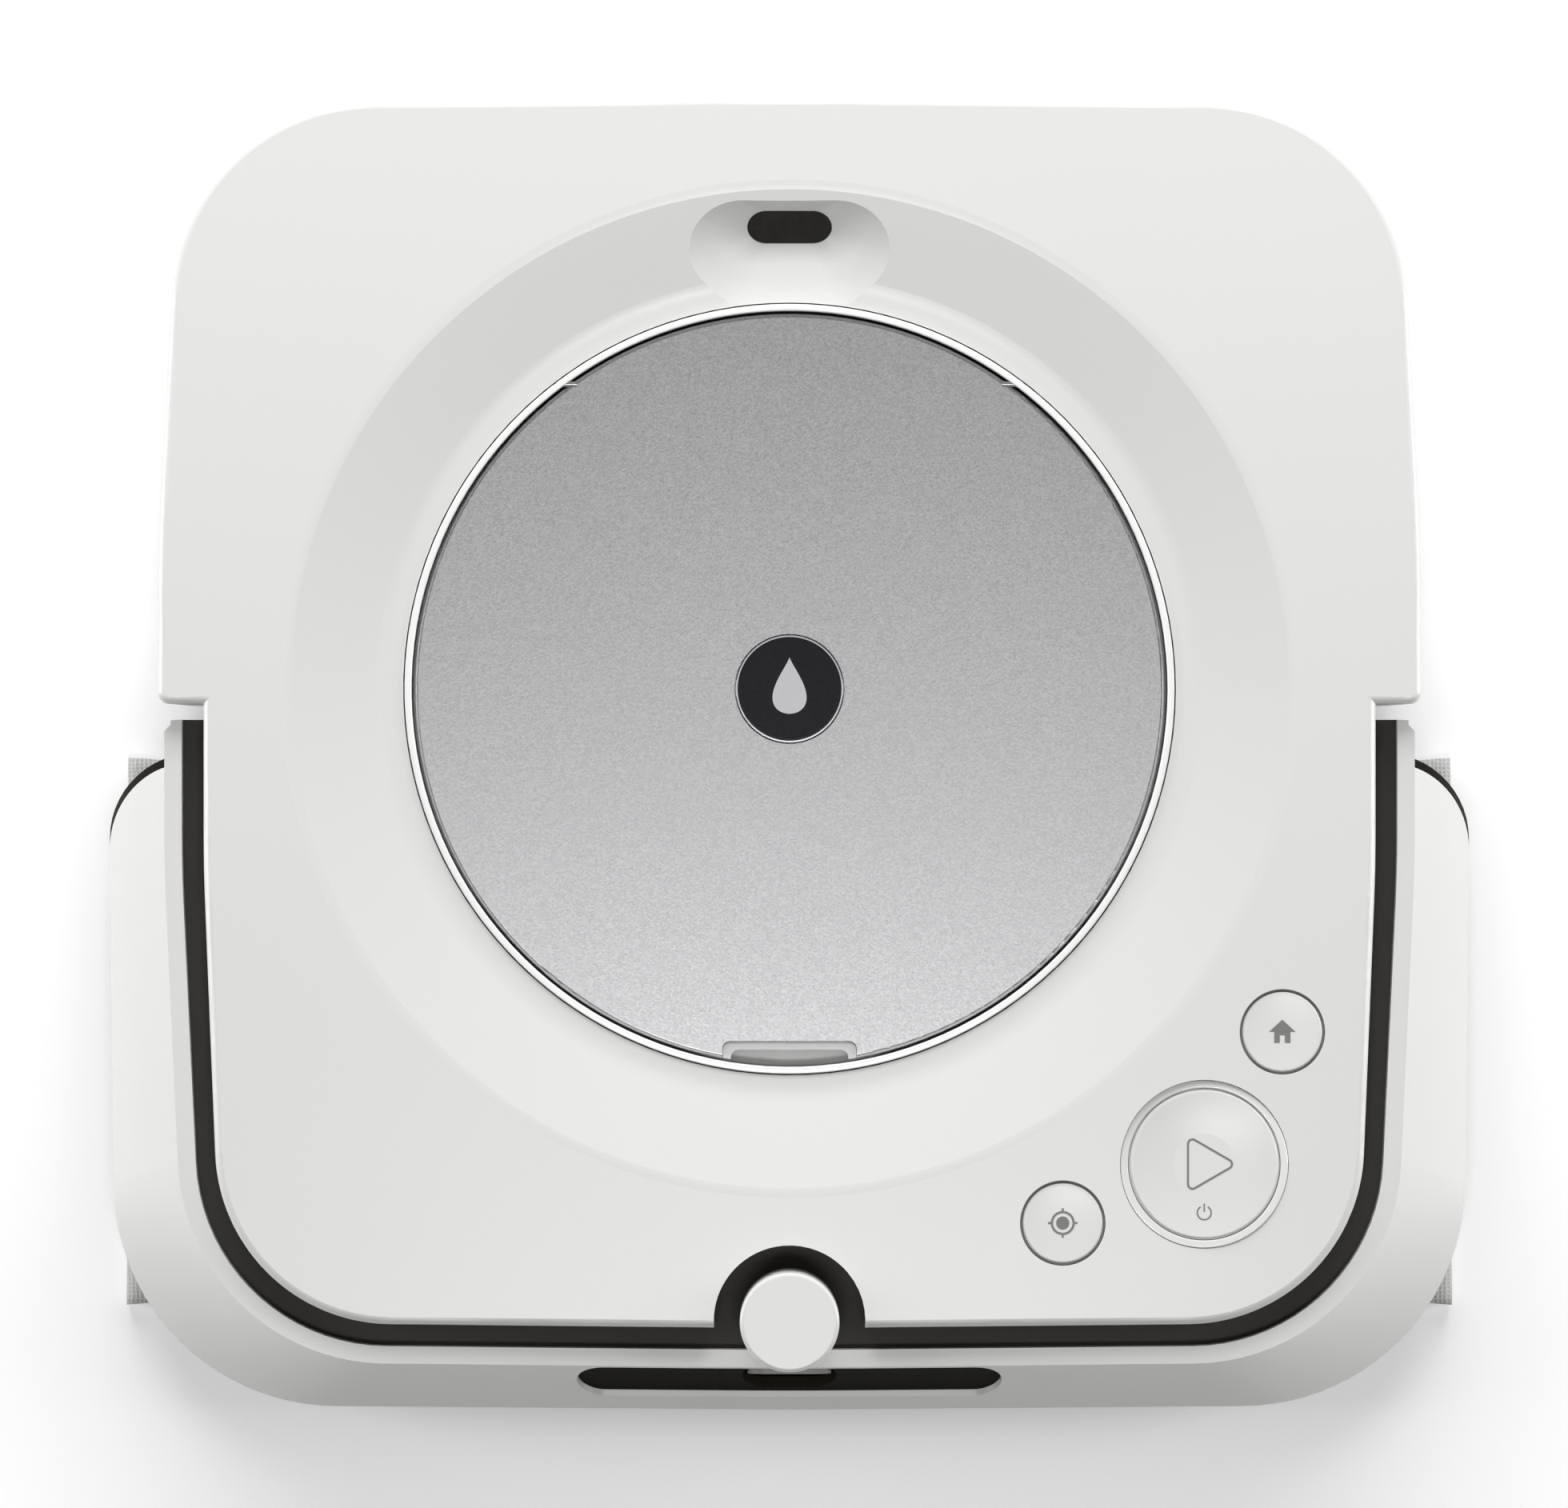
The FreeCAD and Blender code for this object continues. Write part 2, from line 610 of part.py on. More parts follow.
def make_tank_plate():
    plate = cylinder(RIM_INNER - FIT, (0, HUB_Y, TANK_TOP), PLATE_TOP - TANK_TOP)
    half_width, front, rear, floor, thick = GRIP_WELL
    well_outer = box(-half_width - thick, half_width + thick, front - thick, rear + thick,
                     floor - thick, TANK_TOP + 0.5)
    well_inner = box(-half_width, half_width, front, rear, floor, PLATE_TOP + 1)
    plate = fuse([plate, well_outer]).cut(well_inner)
    bar = box(-half_width - 1, half_width + 1, GRIP_BAR_FRONT_Y, GRIP_BAR_REAR_Y, PLATE_TOP - 5, PLATE_TOP)
    neck = ring(CAP_RADIUS - 1.0, CAP_RADIUS - 3.0, FILLER_X, FILLER_Y, TANK_TOP - 8, TANK_TOP + 0.5)
    plate = fuse([plate, bar, neck])
    plate = plate.cut(cylinder(CAP_RADIUS - 3.0, (FILLER_X, FILLER_Y, TANK_TOP - 1), 5))
    plate = plate.cut(box(-60, 60, TAIL_ROOM_Y, 100, TANK_TOP - 1, PLATE_TOP + 1))
    rests = [cylinder(2.0, (x, y, PLATE_TOP - 0.5), 2.7) for x, y in ((-60, 20), (60, 20), (0, -48))]
    return fuse([plate] + rests)


def make_filler_cap():
    head = cylinder(CAP_RADIUS, (FILLER_X, FILLER_Y, PLATE_TOP + 0.1), 1.9)
    plug = cylinder(CAP_RADIUS - 3.3, (FILLER_X, FILLER_Y, TANK_TOP - 6), PLATE_TOP - TANK_TOP + 7)
    cap = fuse([head, plug])
    for side in (-1, 1):
        grip = box(FILLER_X + side * 5 - 2.5, FILLER_X + side * 5 + 2.5, FILLER_Y - 7, FILLER_Y + 7,
                   PLATE_TOP - 4, PLATE_TOP + 5)
        cap = cap.cut(grip)
    return cap


# ---------------------------------------------------------------- lid
def notch_form(depth, half_width, z0, z1):
    """The finger notch in the lid's front edge, running out past the edge."""
    front = HUB_Y - LID_RADIUS
    points = symmetric([(half_width, front - 6, 0), (half_width, front + depth, NOTCH_CORNER)])
    return prism(points, z0, z1)


def make_lid():
    disc = cylinder(LID_RADIUS, (0, HUB_Y, LID_TOP - LID_THICK), LID_THICK)
    rim = [e for e in disc.Edges if e.BoundBox.ZMin > LID_TOP - 0.01]
    disc = disc.makeFillet(0.8, rim)
    disc = disc.cut(notch_form(NOTCH_DEPTH, NOTCH_HALF_WIDTH, LID_TOP - LID_THICK - 1, LID_TOP + 1))
    disc = disc.cut(cylinder(10.9, (0, HUB_Y, LID_TOP - 0.8), 2))
    stub = cylinder(STUB_RADIUS, (STUB_IN, HINGE_Y, HINGE_Z), STUB_OUT - STUB_IN, X_AXIS)
    return fuse([disc] + both_sides(stub))


def make_lid_clear_insert():
    outer = notch_form(NOTCH_DEPTH - FIT, NOTCH_HALF_WIDTH - FIT, LID_TOP - 2.2, LID_TOP - 0.4)
    inner = notch_form(NOTCH_DEPTH - CLEAR_BAND, NOTCH_HALF_WIDTH - CLEAR_BAND, LID_TOP - 3, LID_TOP)
    inside_lid = cylinder(LID_RADIUS - 0.1, (0, HUB_Y, LID_TOP - 4), 6)
    return outer.cut(inner).common(inside_lid)


def make_badge():
    badge = cylinder(10.8, (0, HUB_Y, LID_TOP - 0.8), 1.1)
    rim = [e for e in badge.Edges if e.BoundBox.ZMin > LID_TOP + 0.2]
    return badge.makeFillet(0.3, rim)


# ---------------------------------------------------------------- camera
def make_camera_window():
    lens = stadium_prism(WINDOW_HALF_WIDTH, WINDOW_HALF_HEIGHT, 1.6)
    return place_in_window(lens)


def make_camera_module():
    body = stadium_prism(WINDOW_HALF_WIDTH - 0.3, WINDOW_HALF_HEIGHT - 0.3, 7)
    body.translate(V(0, 2.4, 0))
    barrel = cylinder(3.2, (0, 1.7, 0), 1.5, Y_AXIS)
    return place_in_window(fuse([body, barrel]))


# ---------------------------------------------------------------- bumper
def rail_end_chamfers():
    """The corners that are cut off the rail's rear ends."""
    corner = Part.makePolygon(
        [V(121.8, 9.4, 60), V(125.5, 9.4, 60), V(125.5, 5.6, 60), V(121.8, 9.4, 60)]
    )
    return both_sides(Part.Face(corner).extrude(V(0, 0, 30)))


def flank_cut(shift):
    """Everything beside the rail and behind the rounded rear end of a flank."""
    radius = 17.5
    block = box(124.15, 160, -17.5, 40, 0, 90)
    quarter = cylinder(radius, (139.7 - radius, -17.0 + shift, -1), 92)
    ahead = box(100, 160, -60, -17.0 + shift, -1, 91)
    return both_sides(block.cut(fuse([quarter, ahead])))


def make_bumper_shell():
    outer = bumper_body(0, FLARE_BOTTOM, RAIL_TOP, BUMPER_REAR_Y)
    inner = bumper_body(RAIL_WIDTH, FLARE_BOTTOM - 0.5, RAIL_TOP + 1, BUMPER_REAR_Y + 20)
    shell = outer.cut(inner)
    for piece in flank_cut(0) + rail_end_chamfers():
        shell = shell.cut(piece)
    shell = shell.cut(slot_form(0))
    return shell.cut(cylinder(POST_RADIUS + FIT, (0, POST_Y, BAND_TOP), 30))


def slot_form(shrink):
    middle = (SLOT_LOW + SLOT_HIGH) / 2
    form = stadium_prism(SLOT_HALF_WIDTH - shrink, (SLOT_HIGH - SLOT_LOW) / 2 - shrink, 30)
    form.translate(V(0, -140, middle))
    return form


def make_nozzle_panel():
    panel = slot_form(FIT).common(bumper_body(1.2, FLARE_BOTTOM, RAIL_TOP, BUMPER_REAR_Y))
    panel = panel.cut(bumper_body(RAIL_WIDTH - 0.1, FLARE_BOTTOM - 0.5, RAIL_TOP, BUMPER_REAR_Y))
    oval = stadium_prism(9.6, 4.4, 40)
    oval.translate(V(0, -145, (SLOT_LOW + SLOT_HIGH) / 2))
    return panel.cut(oval)


def make_inner_band():
    outer = prism(rail_outline(-RAIL_WIDTH, BUMPER_REAR_Y), BAND_BOTTOM, BAND_TOP)
    inner = inset_prism(deck_outline(), BAND_LAP, BAND_BOTTOM - 1, BAND_TOP + 1)
    band = outer.cut(inner)
    tongue = cylinder(ARCH_RADIUS + BAND_LAP, (0, POST_Y, BAND_BOTTOM), BAND_TOP - BAND_BOTTOM)
    tongue = tongue.common(prism(rail_outline(-RAIL_WIDTH, BUMPER_REAR_Y), BAND_BOTTOM, BAND_TOP))
    return fuse([band, tongue])


def make_under_trim():
    outer = prism(flare_outline(1.0, 0, BUMPER_REAR_Y), TRIM_BOTTOM, FLARE_BOTTOM)
    inner = prism(flare_outline(1.0, 15.0, BUMPER_REAR_Y + 20), TRIM_BOTTOM - 1, FLARE_BOTTOM + 1)
    trim = outer.cut(inner)
    for piece in flank_cut(2.2):
        trim = trim.cut(piece)
    for piece in front_sensor_pockets():
        trim = trim.cut(piece)
    return trim


def front_sensor_pockets():
    return both_sides(box(86, 96, -126, -120.5, TRIM_BOTTOM - 1, FLARE_BOTTOM + 0.001))


def make_front_cliff_sensors():
    sensor = box(86.1, 95.9, -125.9, -120.6, TRIM_BOTTOM, FLARE_BOTTOM - 0.2)
    return Part.makeCompound(both_sides(sensor))


def make_post():
    return cylinder(POST_RADIUS, (0, POST_Y, BAND_TOP), POST_CAP_Z - BAND_TOP)


def make_post_cap():
    cap = cylinder(POST_RADIUS, (0, POST_Y, POST_CAP_Z), POST_TOP - POST_CAP_Z)
    rim = [e for e in cap.Edges if e.BoundBox.ZMin > POST_TOP - 0.01]
    return cap.makeFillet(0.9, rim)


# ---------------------------------------------------------------- buttons and electronics
def make_button(x, y, hole, radius, dish_depth):
    """A dished cap on a wider body, so that a shallow groove shows round it, with a stem for its switch."""
    top = deck_height(x, y) - 0.1
    cap = cylinder(radius, (x, y, top - GROOVE_DEPTH), GROOVE_DEPTH)
    rim = [e for e in cap.Edges if e.BoundBox.ZMin > top - 0.01]
    cap = cap.makeFillet(0.4, rim)
    dish_radius = radius - 0.6
    ball_radius = (dish_radius**2 + dish_depth**2) / (2 * dish_depth)
    cap = cap.cut(Part.makeSphere(ball_radius, V(x, y, top - dish_depth + ball_radius)))
    underside = top - GROOVE_DEPTH - BUTTON_BODY
    body = cylinder(hole - FIT, (x, y, underside), BUTTON_BODY)
    stem = cylinder(2.5, (x, y, BUTTON_STEM_Z), underside - BUTTON_STEM_Z + 0.2)
    return fuse([cap, body, stem])


def make_light_ring():
    _, x, y, hole, inner_hole, *_ = BUTTONS[2]
    top = deck_height(x, y) - 0.3
    sleeve = ring(hole - FIT, inner_hole, x, y, top - 4.5, top)
    rim = [e for e in sleeve.Edges if e.BoundBox.ZMin > top - 0.01]
    return sleeve.makeFillet(0.3, rim)


def make_button_board():
    board = box(44, 110, -104, -43, BUTTON_BOARD_TOP - BOARD_THICK, BUTTON_BOARD_TOP)
    board = board.common(pan_front(3.0, 60, 80))
    board = board.cut(cylinder(80, (0, HUB_Y, 60), 20))
    return board.cut(cylinder(COLUMN_RADIUS + 0.5, (34, -95, 60), 20))


def make_switches():
    switches = []
    for _, x, y, *_ in BUTTONS:
        body = box(x - 3, x + 3, y - 3, y + 3, BUTTON_BOARD_TOP, BUTTON_BOARD_TOP + SWITCH_HEIGHT - 1)
        key = cylinder(1.7, (x, y, BUTTON_BOARD_TOP), SWITCH_HEIGHT)
        switches.append(fuse([body, key]))
    return Part.makeCompound(switches)


def make_main_board():
    top = MAIN_BOARD_Z + BOARD_THICK
    board = box(-92, -30, -96, -62, MAIN_BOARD_Z, top)
    board = board.common(pan_front(3.0, 50, 70))
    board = board.cut(cylinder(COLUMN_RADIUS + 0.5, (-34, -95, 50), 20))
    processor = box(-80, -66, -88, -74, top - 0.1, top + 1.9)
    driver = box(-56, -46, -84, -74, top - 0.1, top + 1.7)
    connector = box(-62, -40, -70, -65, top - 0.1, top + 6.4)
    return fuse([board, processor, driver, connector])


def make_speaker():
    frame = cylinder(15, (-72, -76, 66), 3)
    magnet = cylinder(9, (-72, -76, 62), 4.5)
    return fuse([frame, magnet])


def make_battery():
    pack = box(-46, 46, 26, 74, PAN_TOP + 0.4, STRIP_BOTTOM - 0.6)
    return pack.makeFillet(2.0, [e for e in pack.Edges if e.BoundBox.ZLength > 5])


def make_battery_door():
    door = box(-47.9, 47.9, 24.1, 75.9, PAN_BOTTOM, PAN_TOP)
    ribs = [box(x, x + 2, 30, 70, PAN_BOTTOM - 0.6, PAN_BOTTOM + 0.5) for x in (-40, -20, 18, 38)]
    return fuse([door] + ribs)


def make_charging_contacts():
    contact = box(16, 30, 108, 118, PAN_BOTTOM - 0.8, PAN_BOTTOM)
    return Part.makeCompound(both_sides(contact))


def make_base_sensors():
    """Two windows that look for stairs and one round window that reads the floor's surface."""
    window = box(84, 96, 112, 118, PAN_BOTTOM - 0.8, PAN_BOTTOM)
    floor_window = cylinder(6, (0, 92, PAN_BOTTOM - 0.8), 0.8)
    return Part.makeCompound(both_sides(window) + [floor_window])


def make_pump():
    body = cylinder(11, (22, PUMP_Y, PUMP_Z), 30, X_AXIS)
    head = cylinder(8, (52, PUMP_Y, PUMP_Z), 8, X_AXIS)
    foot = box(26, 48, PUMP_Y - 9, PUMP_Y + 9, PAN_TOP, 20)
    return fuse([body, head, foot])


def bent_tube(points, radius, bend):
    """A round tube along straight runs joined by tangent arcs."""
    edges = []
    last = V(*points[0])
    for i in range(1, len(points) - 1):
        corner = V(*points[i])
        back = V(*points[i - 1]) - corner
        ahead = V(*points[i + 1]) - corner
        back.normalize()
        ahead.normalize()
        half = back.getAngle(ahead) / 2
        reach = bend / math.tan(half)
        middle = back + ahead
        middle.normalize()
        start = corner + back * reach
        end = corner + ahead * reach
        edges.append(Part.makeLine(last, start))
        edges.append(Part.Arc(start, corner + middle * (bend / math.sin(half) - bend), end).toShape())
        last = end
    edges.append(Part.makeLine(last, V(*points[-1])))
    path = Part.Wire(edges)
    direction = V(*points[1]) - V(*points[0])
    circle = Part.Wire(Part.makeCircle(radius, V(*points[0]), direction))
    return path.makePipeShell([circle], True, True)


def make_suction_hose():
    points = [
        (0, OUTLET_Y, BAY_FLOOR),
        (0, OUTLET_Y, 21),
        (12, -62, 21),
        (12, PUMP_Y, PUMP_Z),
        (22, PUMP_Y, PUMP_Z),
    ]
    return bent_tube(points, 2.4, 5)


def make_spray_hose():
    nozzle_z = (SLOT_LOW + SLOT_HIGH) / 2
    points = [
        (60, PUMP_Y, PUMP_Z),
        (70, PUMP_Y, PUMP_Z),
        (70, PUMP_Y, 42),
        (0, PUMP_Y, 42),
        (0, PUMP_Y, nozzle_z),
        (0, -92, nozzle_z),
    ]
    return bent_tube(points, 1.8, 4)


def make_spray_nozzle():
    z = (SLOT_LOW + SLOT_HIGH) / 2
    body = box(-9, 9, -112, -92, z - 7, z + 7)
    mouth = stadium_prism(8.6, 3.6, 16)
    mouth.translate(V(0, -124, z))
    foot = box(-9, 9, -100, -93, PAN_TOP, z)
    nozzle = fuse([body, mouth, foot])
    return nozzle.cut(cylinder(0.9, (0, -125, z), 6, Y_AXIS))


# ---------------------------------------------------------------- drive
def tooth_side(radius, pitch_radius, half_tooth):
    """Half-angle of an involute tooth at a radius, for 20 degree teeth."""
    base = pitch_radius * math.cos(math.radians(20))
    if radius <= base:
        radius = base
    pressure = math.acos(base / radius)
    reference = math.acos(base / pitch_radius)
    return half_tooth - (math.tan(pressure) - pressure) + (math.tan(reference) - reference)


def gear(teeth, x0, x1, y, z, first_tooth):
    """A spur gear about an axis along X; first_tooth is the angle of a tooth's middle in the YZ plane."""
    pitch_radius = MODULE * teeth / 2
    root = pitch_radius - 1.2 * MODULE
    tip = pitch_radius + 0.9 * MODULE
    half_tooth = math.pi / (2 * teeth) - BACKLASH / (2 * pitch_radius)
    levels = [root, pitch_radius, tip]
    points = []
    for i in range(teeth):
        middle = first_tooth + 2 * math.pi * i / teeth
        rise = [(r, middle - tooth_side(r, pitch_radius, half_tooth)) for r in levels]
        fall = [(r, middle + tooth_side(r, pitch_radius, half_tooth)) for r in reversed(levels)]
        points.extend(rise + fall)
    ring_points = [V(x0, y + r * math.cos(a), z + r * math.sin(a)) for r, a in points]
    face = Part.Face(Part.makePolygon(ring_points + ring_points[:1]))
    return face.extrude(V(x1 - x0, 0, 0))


def pinion_place():
    distance = MODULE * (GEAR_TEETH + PINION_TEETH) / 2
    return WHEEL_Y - math.sqrt(distance**2 - PINION_DROP**2), WHEEL_RADIUS - PINION_DROP


def mesh_angle():
    """Direction from the wheel's axis to the pinion's, in the YZ plane."""
    y, z = pinion_place()
    return math.atan2(z - WHEEL_RADIUS, y - WHEEL_Y)


def make_arm():
    y, z = pinion_place()
    bar = box(ARM_IN, ARM_OUT, PIVOT_Y - 7, WHEEL_Y + 9, 18, 36)
    pivot_end = cylinder(7, (ARM_IN, PIVOT_Y, PIVOT_Z), ARM_OUT - ARM_IN, X_AXIS)
    wheel_end = cylinder(9, (ARM_IN, WHEEL_Y, WHEEL_RADIUS), ARM_OUT - ARM_IN, X_AXIS)
    bar = bar.common(box(ARM_IN, ARM_OUT, PIVOT_Y - 5, WHEEL_Y, 18, 36))
    arm = fuse([bar, pivot_end, wheel_end])
    arm = arm.cut(cylinder(PIVOT_RADIUS + RUNNING, (ARM_IN - 1, PIVOT_Y, PIVOT_Z), 8, X_AXIS))
    arm = arm.cut(cylinder(AXLE_RADIUS, (ARM_IN - 1, WHEEL_Y, WHEEL_RADIUS), 8, X_AXIS))
    return arm.cut(cylinder(2.2, (ARM_IN - 1, y, z), 8, X_AXIS))


def make_pivot_pins():
    """One pin for each suspension arm and one for the latch."""
    arm_pin = cylinder(PIVOT_RADIUS, (ARM_IN - 5, PIVOT_Y, PIVOT_Z), ARM_OUT - ARM_IN + 9.6, X_AXIS)
    latch_pin = cylinder(PIN_RADIUS, (-8, LATCH_PIVOT_Y, LATCH_PIVOT_Z), 16, X_AXIS)
    return Part.makeCompound(both_sides(arm_pin) + [latch_pin])


def make_axle():
    shaft = cylinder(AXLE_RADIUS, (ARM_IN, WHEEL_Y, WHEEL_RADIUS), TYRE_OUT - ARM_IN - 3, X_AXIS)
    head = cylinder(4.5, (TYRE_OUT - 3, WHEEL_Y, WHEEL_RADIUS), 1.5, X_AXIS)
    return fuse([shaft, head])


def make_motor():
    y, z = pinion_place()
    can = cylinder(MOTOR_RADIUS, (MOTOR_IN, y, z), MOTOR_OUT - MOTOR_IN, X_AXIS)
    nose = cylinder(6, (MOTOR_OUT, y, z), ARM_IN - MOTOR_OUT, X_AXIS)
    motor = fuse([can, nose])
    return motor.cut(cylinder(1.5 + RUNNING, (MOTOR_OUT - 6, y, z), 10, X_AXIS))


def make_tyre():
    tyre = cylinder(WHEEL_RADIUS, (TYRE_IN, WHEEL_Y, WHEEL_RADIUS), TYRE_OUT - TYRE_IN, X_AXIS)
    tyre = tyre.makeFillet(2.0, [e for e in tyre.Edges if e.Length > 100 and len(e.Vertexes) == 1])
    for i in range(36):
        groove = box(TYRE_IN - 1, TYRE_OUT + 1, -0.7, 0.7, WHEEL_RADIUS - 0.9, WHEEL_RADIUS + 1)
        groove.rotate(V(0, 0, 0), X_AXIS, 5 + 10 * i)
        groove.translate(V(0, WHEEL_Y, WHEEL_RADIUS))
        tyre = tyre.cut(groove)
    return tyre.cut(cylinder(22, (TYRE_IN - 1, WHEEL_Y, WHEEL_RADIUS), 20, X_AXIS))


def make_hub():
    y, z = WHEEL_Y, WHEEL_RADIUS
    rim = cylinder(22, (TYRE_IN, y, z), TYRE_OUT - TYRE_IN, X_AXIS)
    rim = rim.cut(cylinder(19.5, (TYRE_IN + 5, y, z), 20, X_AXIS))
    boss = cylinder(7, (GEAR_OUT, y, z), TYRE_OUT - 4 - GEAR_OUT, X_AXIS)
    pieces = [rim, boss]
    for i in range(6):
        spoke = box(TYRE_IN + 4, TYRE_OUT - 4, -1.2, 1.2, 6, 20)
        spoke.rotate(V(0, 0, 0), X_AXIS, 60 * i)
        spoke.translate(V(0, y, z))
        pieces.append(spoke)
    hub = fuse(pieces)
    hub = hub.cut(cylinder(AXLE_RADIUS + RUNNING, (80, y, z), 40, X_AXIS))
    return hub.cut(cylinder(4.8, (TYRE_OUT - 4.2, y, z), 10, X_AXIS))


def make_wheel_gear():
    wheel_gear = gear(GEAR_TEETH, GEAR_IN, GEAR_OUT, WHEEL_Y, WHEEL_RADIUS,
                      mesh_angle() + math.pi / GEAR_TEETH)
    return wheel_gear.cut(cylinder(AXLE_RADIUS + RUNNING, (80, WHEEL_Y, WHEEL_RADIUS), 20, X_AXIS))


def make_pinion():
    y, z = pinion_place()
    teeth = gear(PINION_TEETH, GEAR_IN, GEAR_OUT, y, z, mesh_angle() + math.pi)
    shaft = cylinder(1.5, (MOTOR_OUT - 5, y, z), GEAR_IN - MOTOR_OUT + 6, X_AXIS)
    return fuse([teeth, shaft])


# ---------------------------------------------------------------- pad and its release
def make_pad_cloth():
    points = symmetric([(PAD_HALF_WIDTH, PAD_REAR_Y, 2), (PAD_HALF_WIDTH, PAD_FRONT_Y, 2)])
    return prism(points, 0, CLOTH_TOP)


def make_pad_card():
    points = symmetric([(118, -3, 4), (118, -106, 4)])
    card = prism(points, CLOTH_TOP, CARD_TOP)
    tongue = box(-TONGUE_HALF_WIDTH, TONGUE_HALF_WIDTH, -98, -5, CARD_TOP - 0.4, HEAD_BOTTOM + 0.2)
    head = box(-HEAD_HALF_WIDTH, HEAD_HALF_WIDTH, -98, -5, HEAD_BOTTOM, HEAD_TOP)
    return fuse([card, tongue, head])


def make_eject_strip():
    strip = box(-6, 6, STRIP_FRONT_Y, BODY_REAR_Y - 9, STRIP_BOTTOM, STRIP_TOP)
    foot = box(-6, 6, BODY_REAR_Y - 10.5, BODY_REAR_Y - 5, EJECT_Z - 3, STRIP_TOP)
    return fuse([strip, foot])


def make_eject_button():
    button = box(-14, 14, BODY_REAR_Y - 5, BODY_REAR_Y - 0.3, EJECT_Z - 5, EJECT_Z + 5)
    edges = [e for e in button.Edges if e.BoundBox.YMin > BODY_REAR_Y - 0.4]
    return button.makeFillet(0.6, edges)


def make_latch():
    y, z = LATCH_PIVOT_Y, LATCH_PIVOT_Z
    barrel = cylinder(3.2, (-4.2, y, z), 8.4, X_AXIS)
    lever = box(-4.2, 4.2, y - 1.5, y + 1.5, z, STRIP_TOP)
    finger = box(-4.2, 4.2, y + 4, y + 8, HEAD_TOP + 0.3, z)
    link = box(-4.2, 4.2, y, y + 8, z - 2, z + 2)
    latch = fuse([barrel, lever, finger, link])
    return latch.cut(cylinder(PIN_RADIUS + RUNNING, (-5, y, z), 10, X_AXIS))


# ---------------------------------------------------------------- writing the parts
def all_parts():
    parts = {
        "top_cover": make_top_cover(),
        "base_pan": make_base_pan(),
        "front_frame": make_front_frame(),
        "columns": make_columns(),
        "pad_rails": make_pad_rails(),
        "base_screws": make_base_screws(),
        "tank_bay": make_tank_bay(),
        "tank_seal": make_tank_seal(),
        "water_tank": make_water_tank(),
        "tank_plate": make_tank_plate(),
        "tank_rim": make_tank_rim(),
        "filler_cap": make_filler_cap(),
        "lid": make_lid(),
        "lid_clear_insert": make_lid_clear_insert(),
        "badge": make_badge(),
        "camera_window": make_camera_window(),
        "camera_module": make_camera_module(),
        "bumper_shell": make_bumper_shell(),
        "bumper_band": make_inner_band(),
        "bumper_trim": make_under_trim(),
        "nozzle_panel": make_nozzle_panel(),
        "front_cliff_sensors": make_front_cliff_sensors(),
        "post": make_post(),
        "post_cap": make_post_cap(),
        "main_light_ring": make_light_ring(),
        "button_board": make_button_board(),
        "button_switches": make_switches(),
        "main_board": make_main_board(),
        "speaker": make_speaker(),
        "battery_pack": make_battery(),
        "battery_door": make_battery_door(),
        "charging_contacts": make_charging_contacts(),
        "base_sensors": make_base_sensors(),
        "pump": make_pump(),
        "suction_hose": make_suction_hose(),
        "spray_hose": make_spray_hose(),
        "spray_nozzle": make_spray_nozzle(),
        "pad_cloth": make_pad_cloth(),
        "pad_card": make_pad_card(),
        "eject_strip": make_eject_strip(),
        "eject_button": make_eject_button(),
        "pad_latch": make_latch(),
        "pivot_pins": make_pivot_pins(),
    }
    for name, x, y, _, hole, radius, dish_depth in BUTTONS:
        parts[name + "_button"] = make_button(x, y, hole, radius, dish_depth)
    drive = {
        "suspension_arm": make_arm(),
        "wheel_axle": make_axle(),
        "drive_motor": make_motor(),
        "wheel_tyre": make_tyre(),
        "wheel_hub": make_hub(),
        "wheel_gear": make_wheel_gear(),
        "motor_pinion": make_pinion(),
    }
    for name, shape in drive.items():
        parts["right_" + name] = shape
        parts["left_" + name] = mirror_x(shape)
    return parts


def main():
    os.makedirs("parts", exist_ok=True)
    for name, shape in all_parts().items():
        if not shape.isValid():
            print("not valid:", name)
        bounds = shape.BoundBox
        print(
            f"{name:22s} solids {len(shape.Solids)} volume {shape.Volume / 1000:8.2f} cm3"
            f" z {bounds.ZMin:6.2f} {bounds.ZMax:6.2f}"
        )
        shape.exportStep(f"parts/{name}.step")


main()
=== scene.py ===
import bmesh
import bpy
import json
import math
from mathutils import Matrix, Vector
from mathutils.bvhtree import BVHTree


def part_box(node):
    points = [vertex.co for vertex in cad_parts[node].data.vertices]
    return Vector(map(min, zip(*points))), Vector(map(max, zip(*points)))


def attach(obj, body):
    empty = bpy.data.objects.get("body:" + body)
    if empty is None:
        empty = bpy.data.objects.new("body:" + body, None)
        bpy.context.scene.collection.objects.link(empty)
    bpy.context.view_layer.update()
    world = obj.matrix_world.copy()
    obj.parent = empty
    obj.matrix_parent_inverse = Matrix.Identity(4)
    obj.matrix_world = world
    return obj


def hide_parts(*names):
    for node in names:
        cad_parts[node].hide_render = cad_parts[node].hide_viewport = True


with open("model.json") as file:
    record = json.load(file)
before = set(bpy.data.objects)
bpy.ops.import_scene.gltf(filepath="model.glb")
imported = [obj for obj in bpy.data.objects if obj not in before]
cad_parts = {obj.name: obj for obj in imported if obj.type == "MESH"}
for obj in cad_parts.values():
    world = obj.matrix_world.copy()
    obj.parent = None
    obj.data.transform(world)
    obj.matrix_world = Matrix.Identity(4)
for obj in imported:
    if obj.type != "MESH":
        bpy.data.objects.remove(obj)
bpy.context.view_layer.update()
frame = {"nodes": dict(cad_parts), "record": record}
nodes = frame["nodes"]

# Lengths are in metres and angles in degrees.
HUB = (0.0, 0.0154)                  # vertical axis of the lid and the tank

# The camera hangs straight above the robot
CAMERA_PLACE = (-0.0011, 0.0025, 1.8)
CAMERA_LENS = 199.3
CAMERA_SENSOR = 36.0

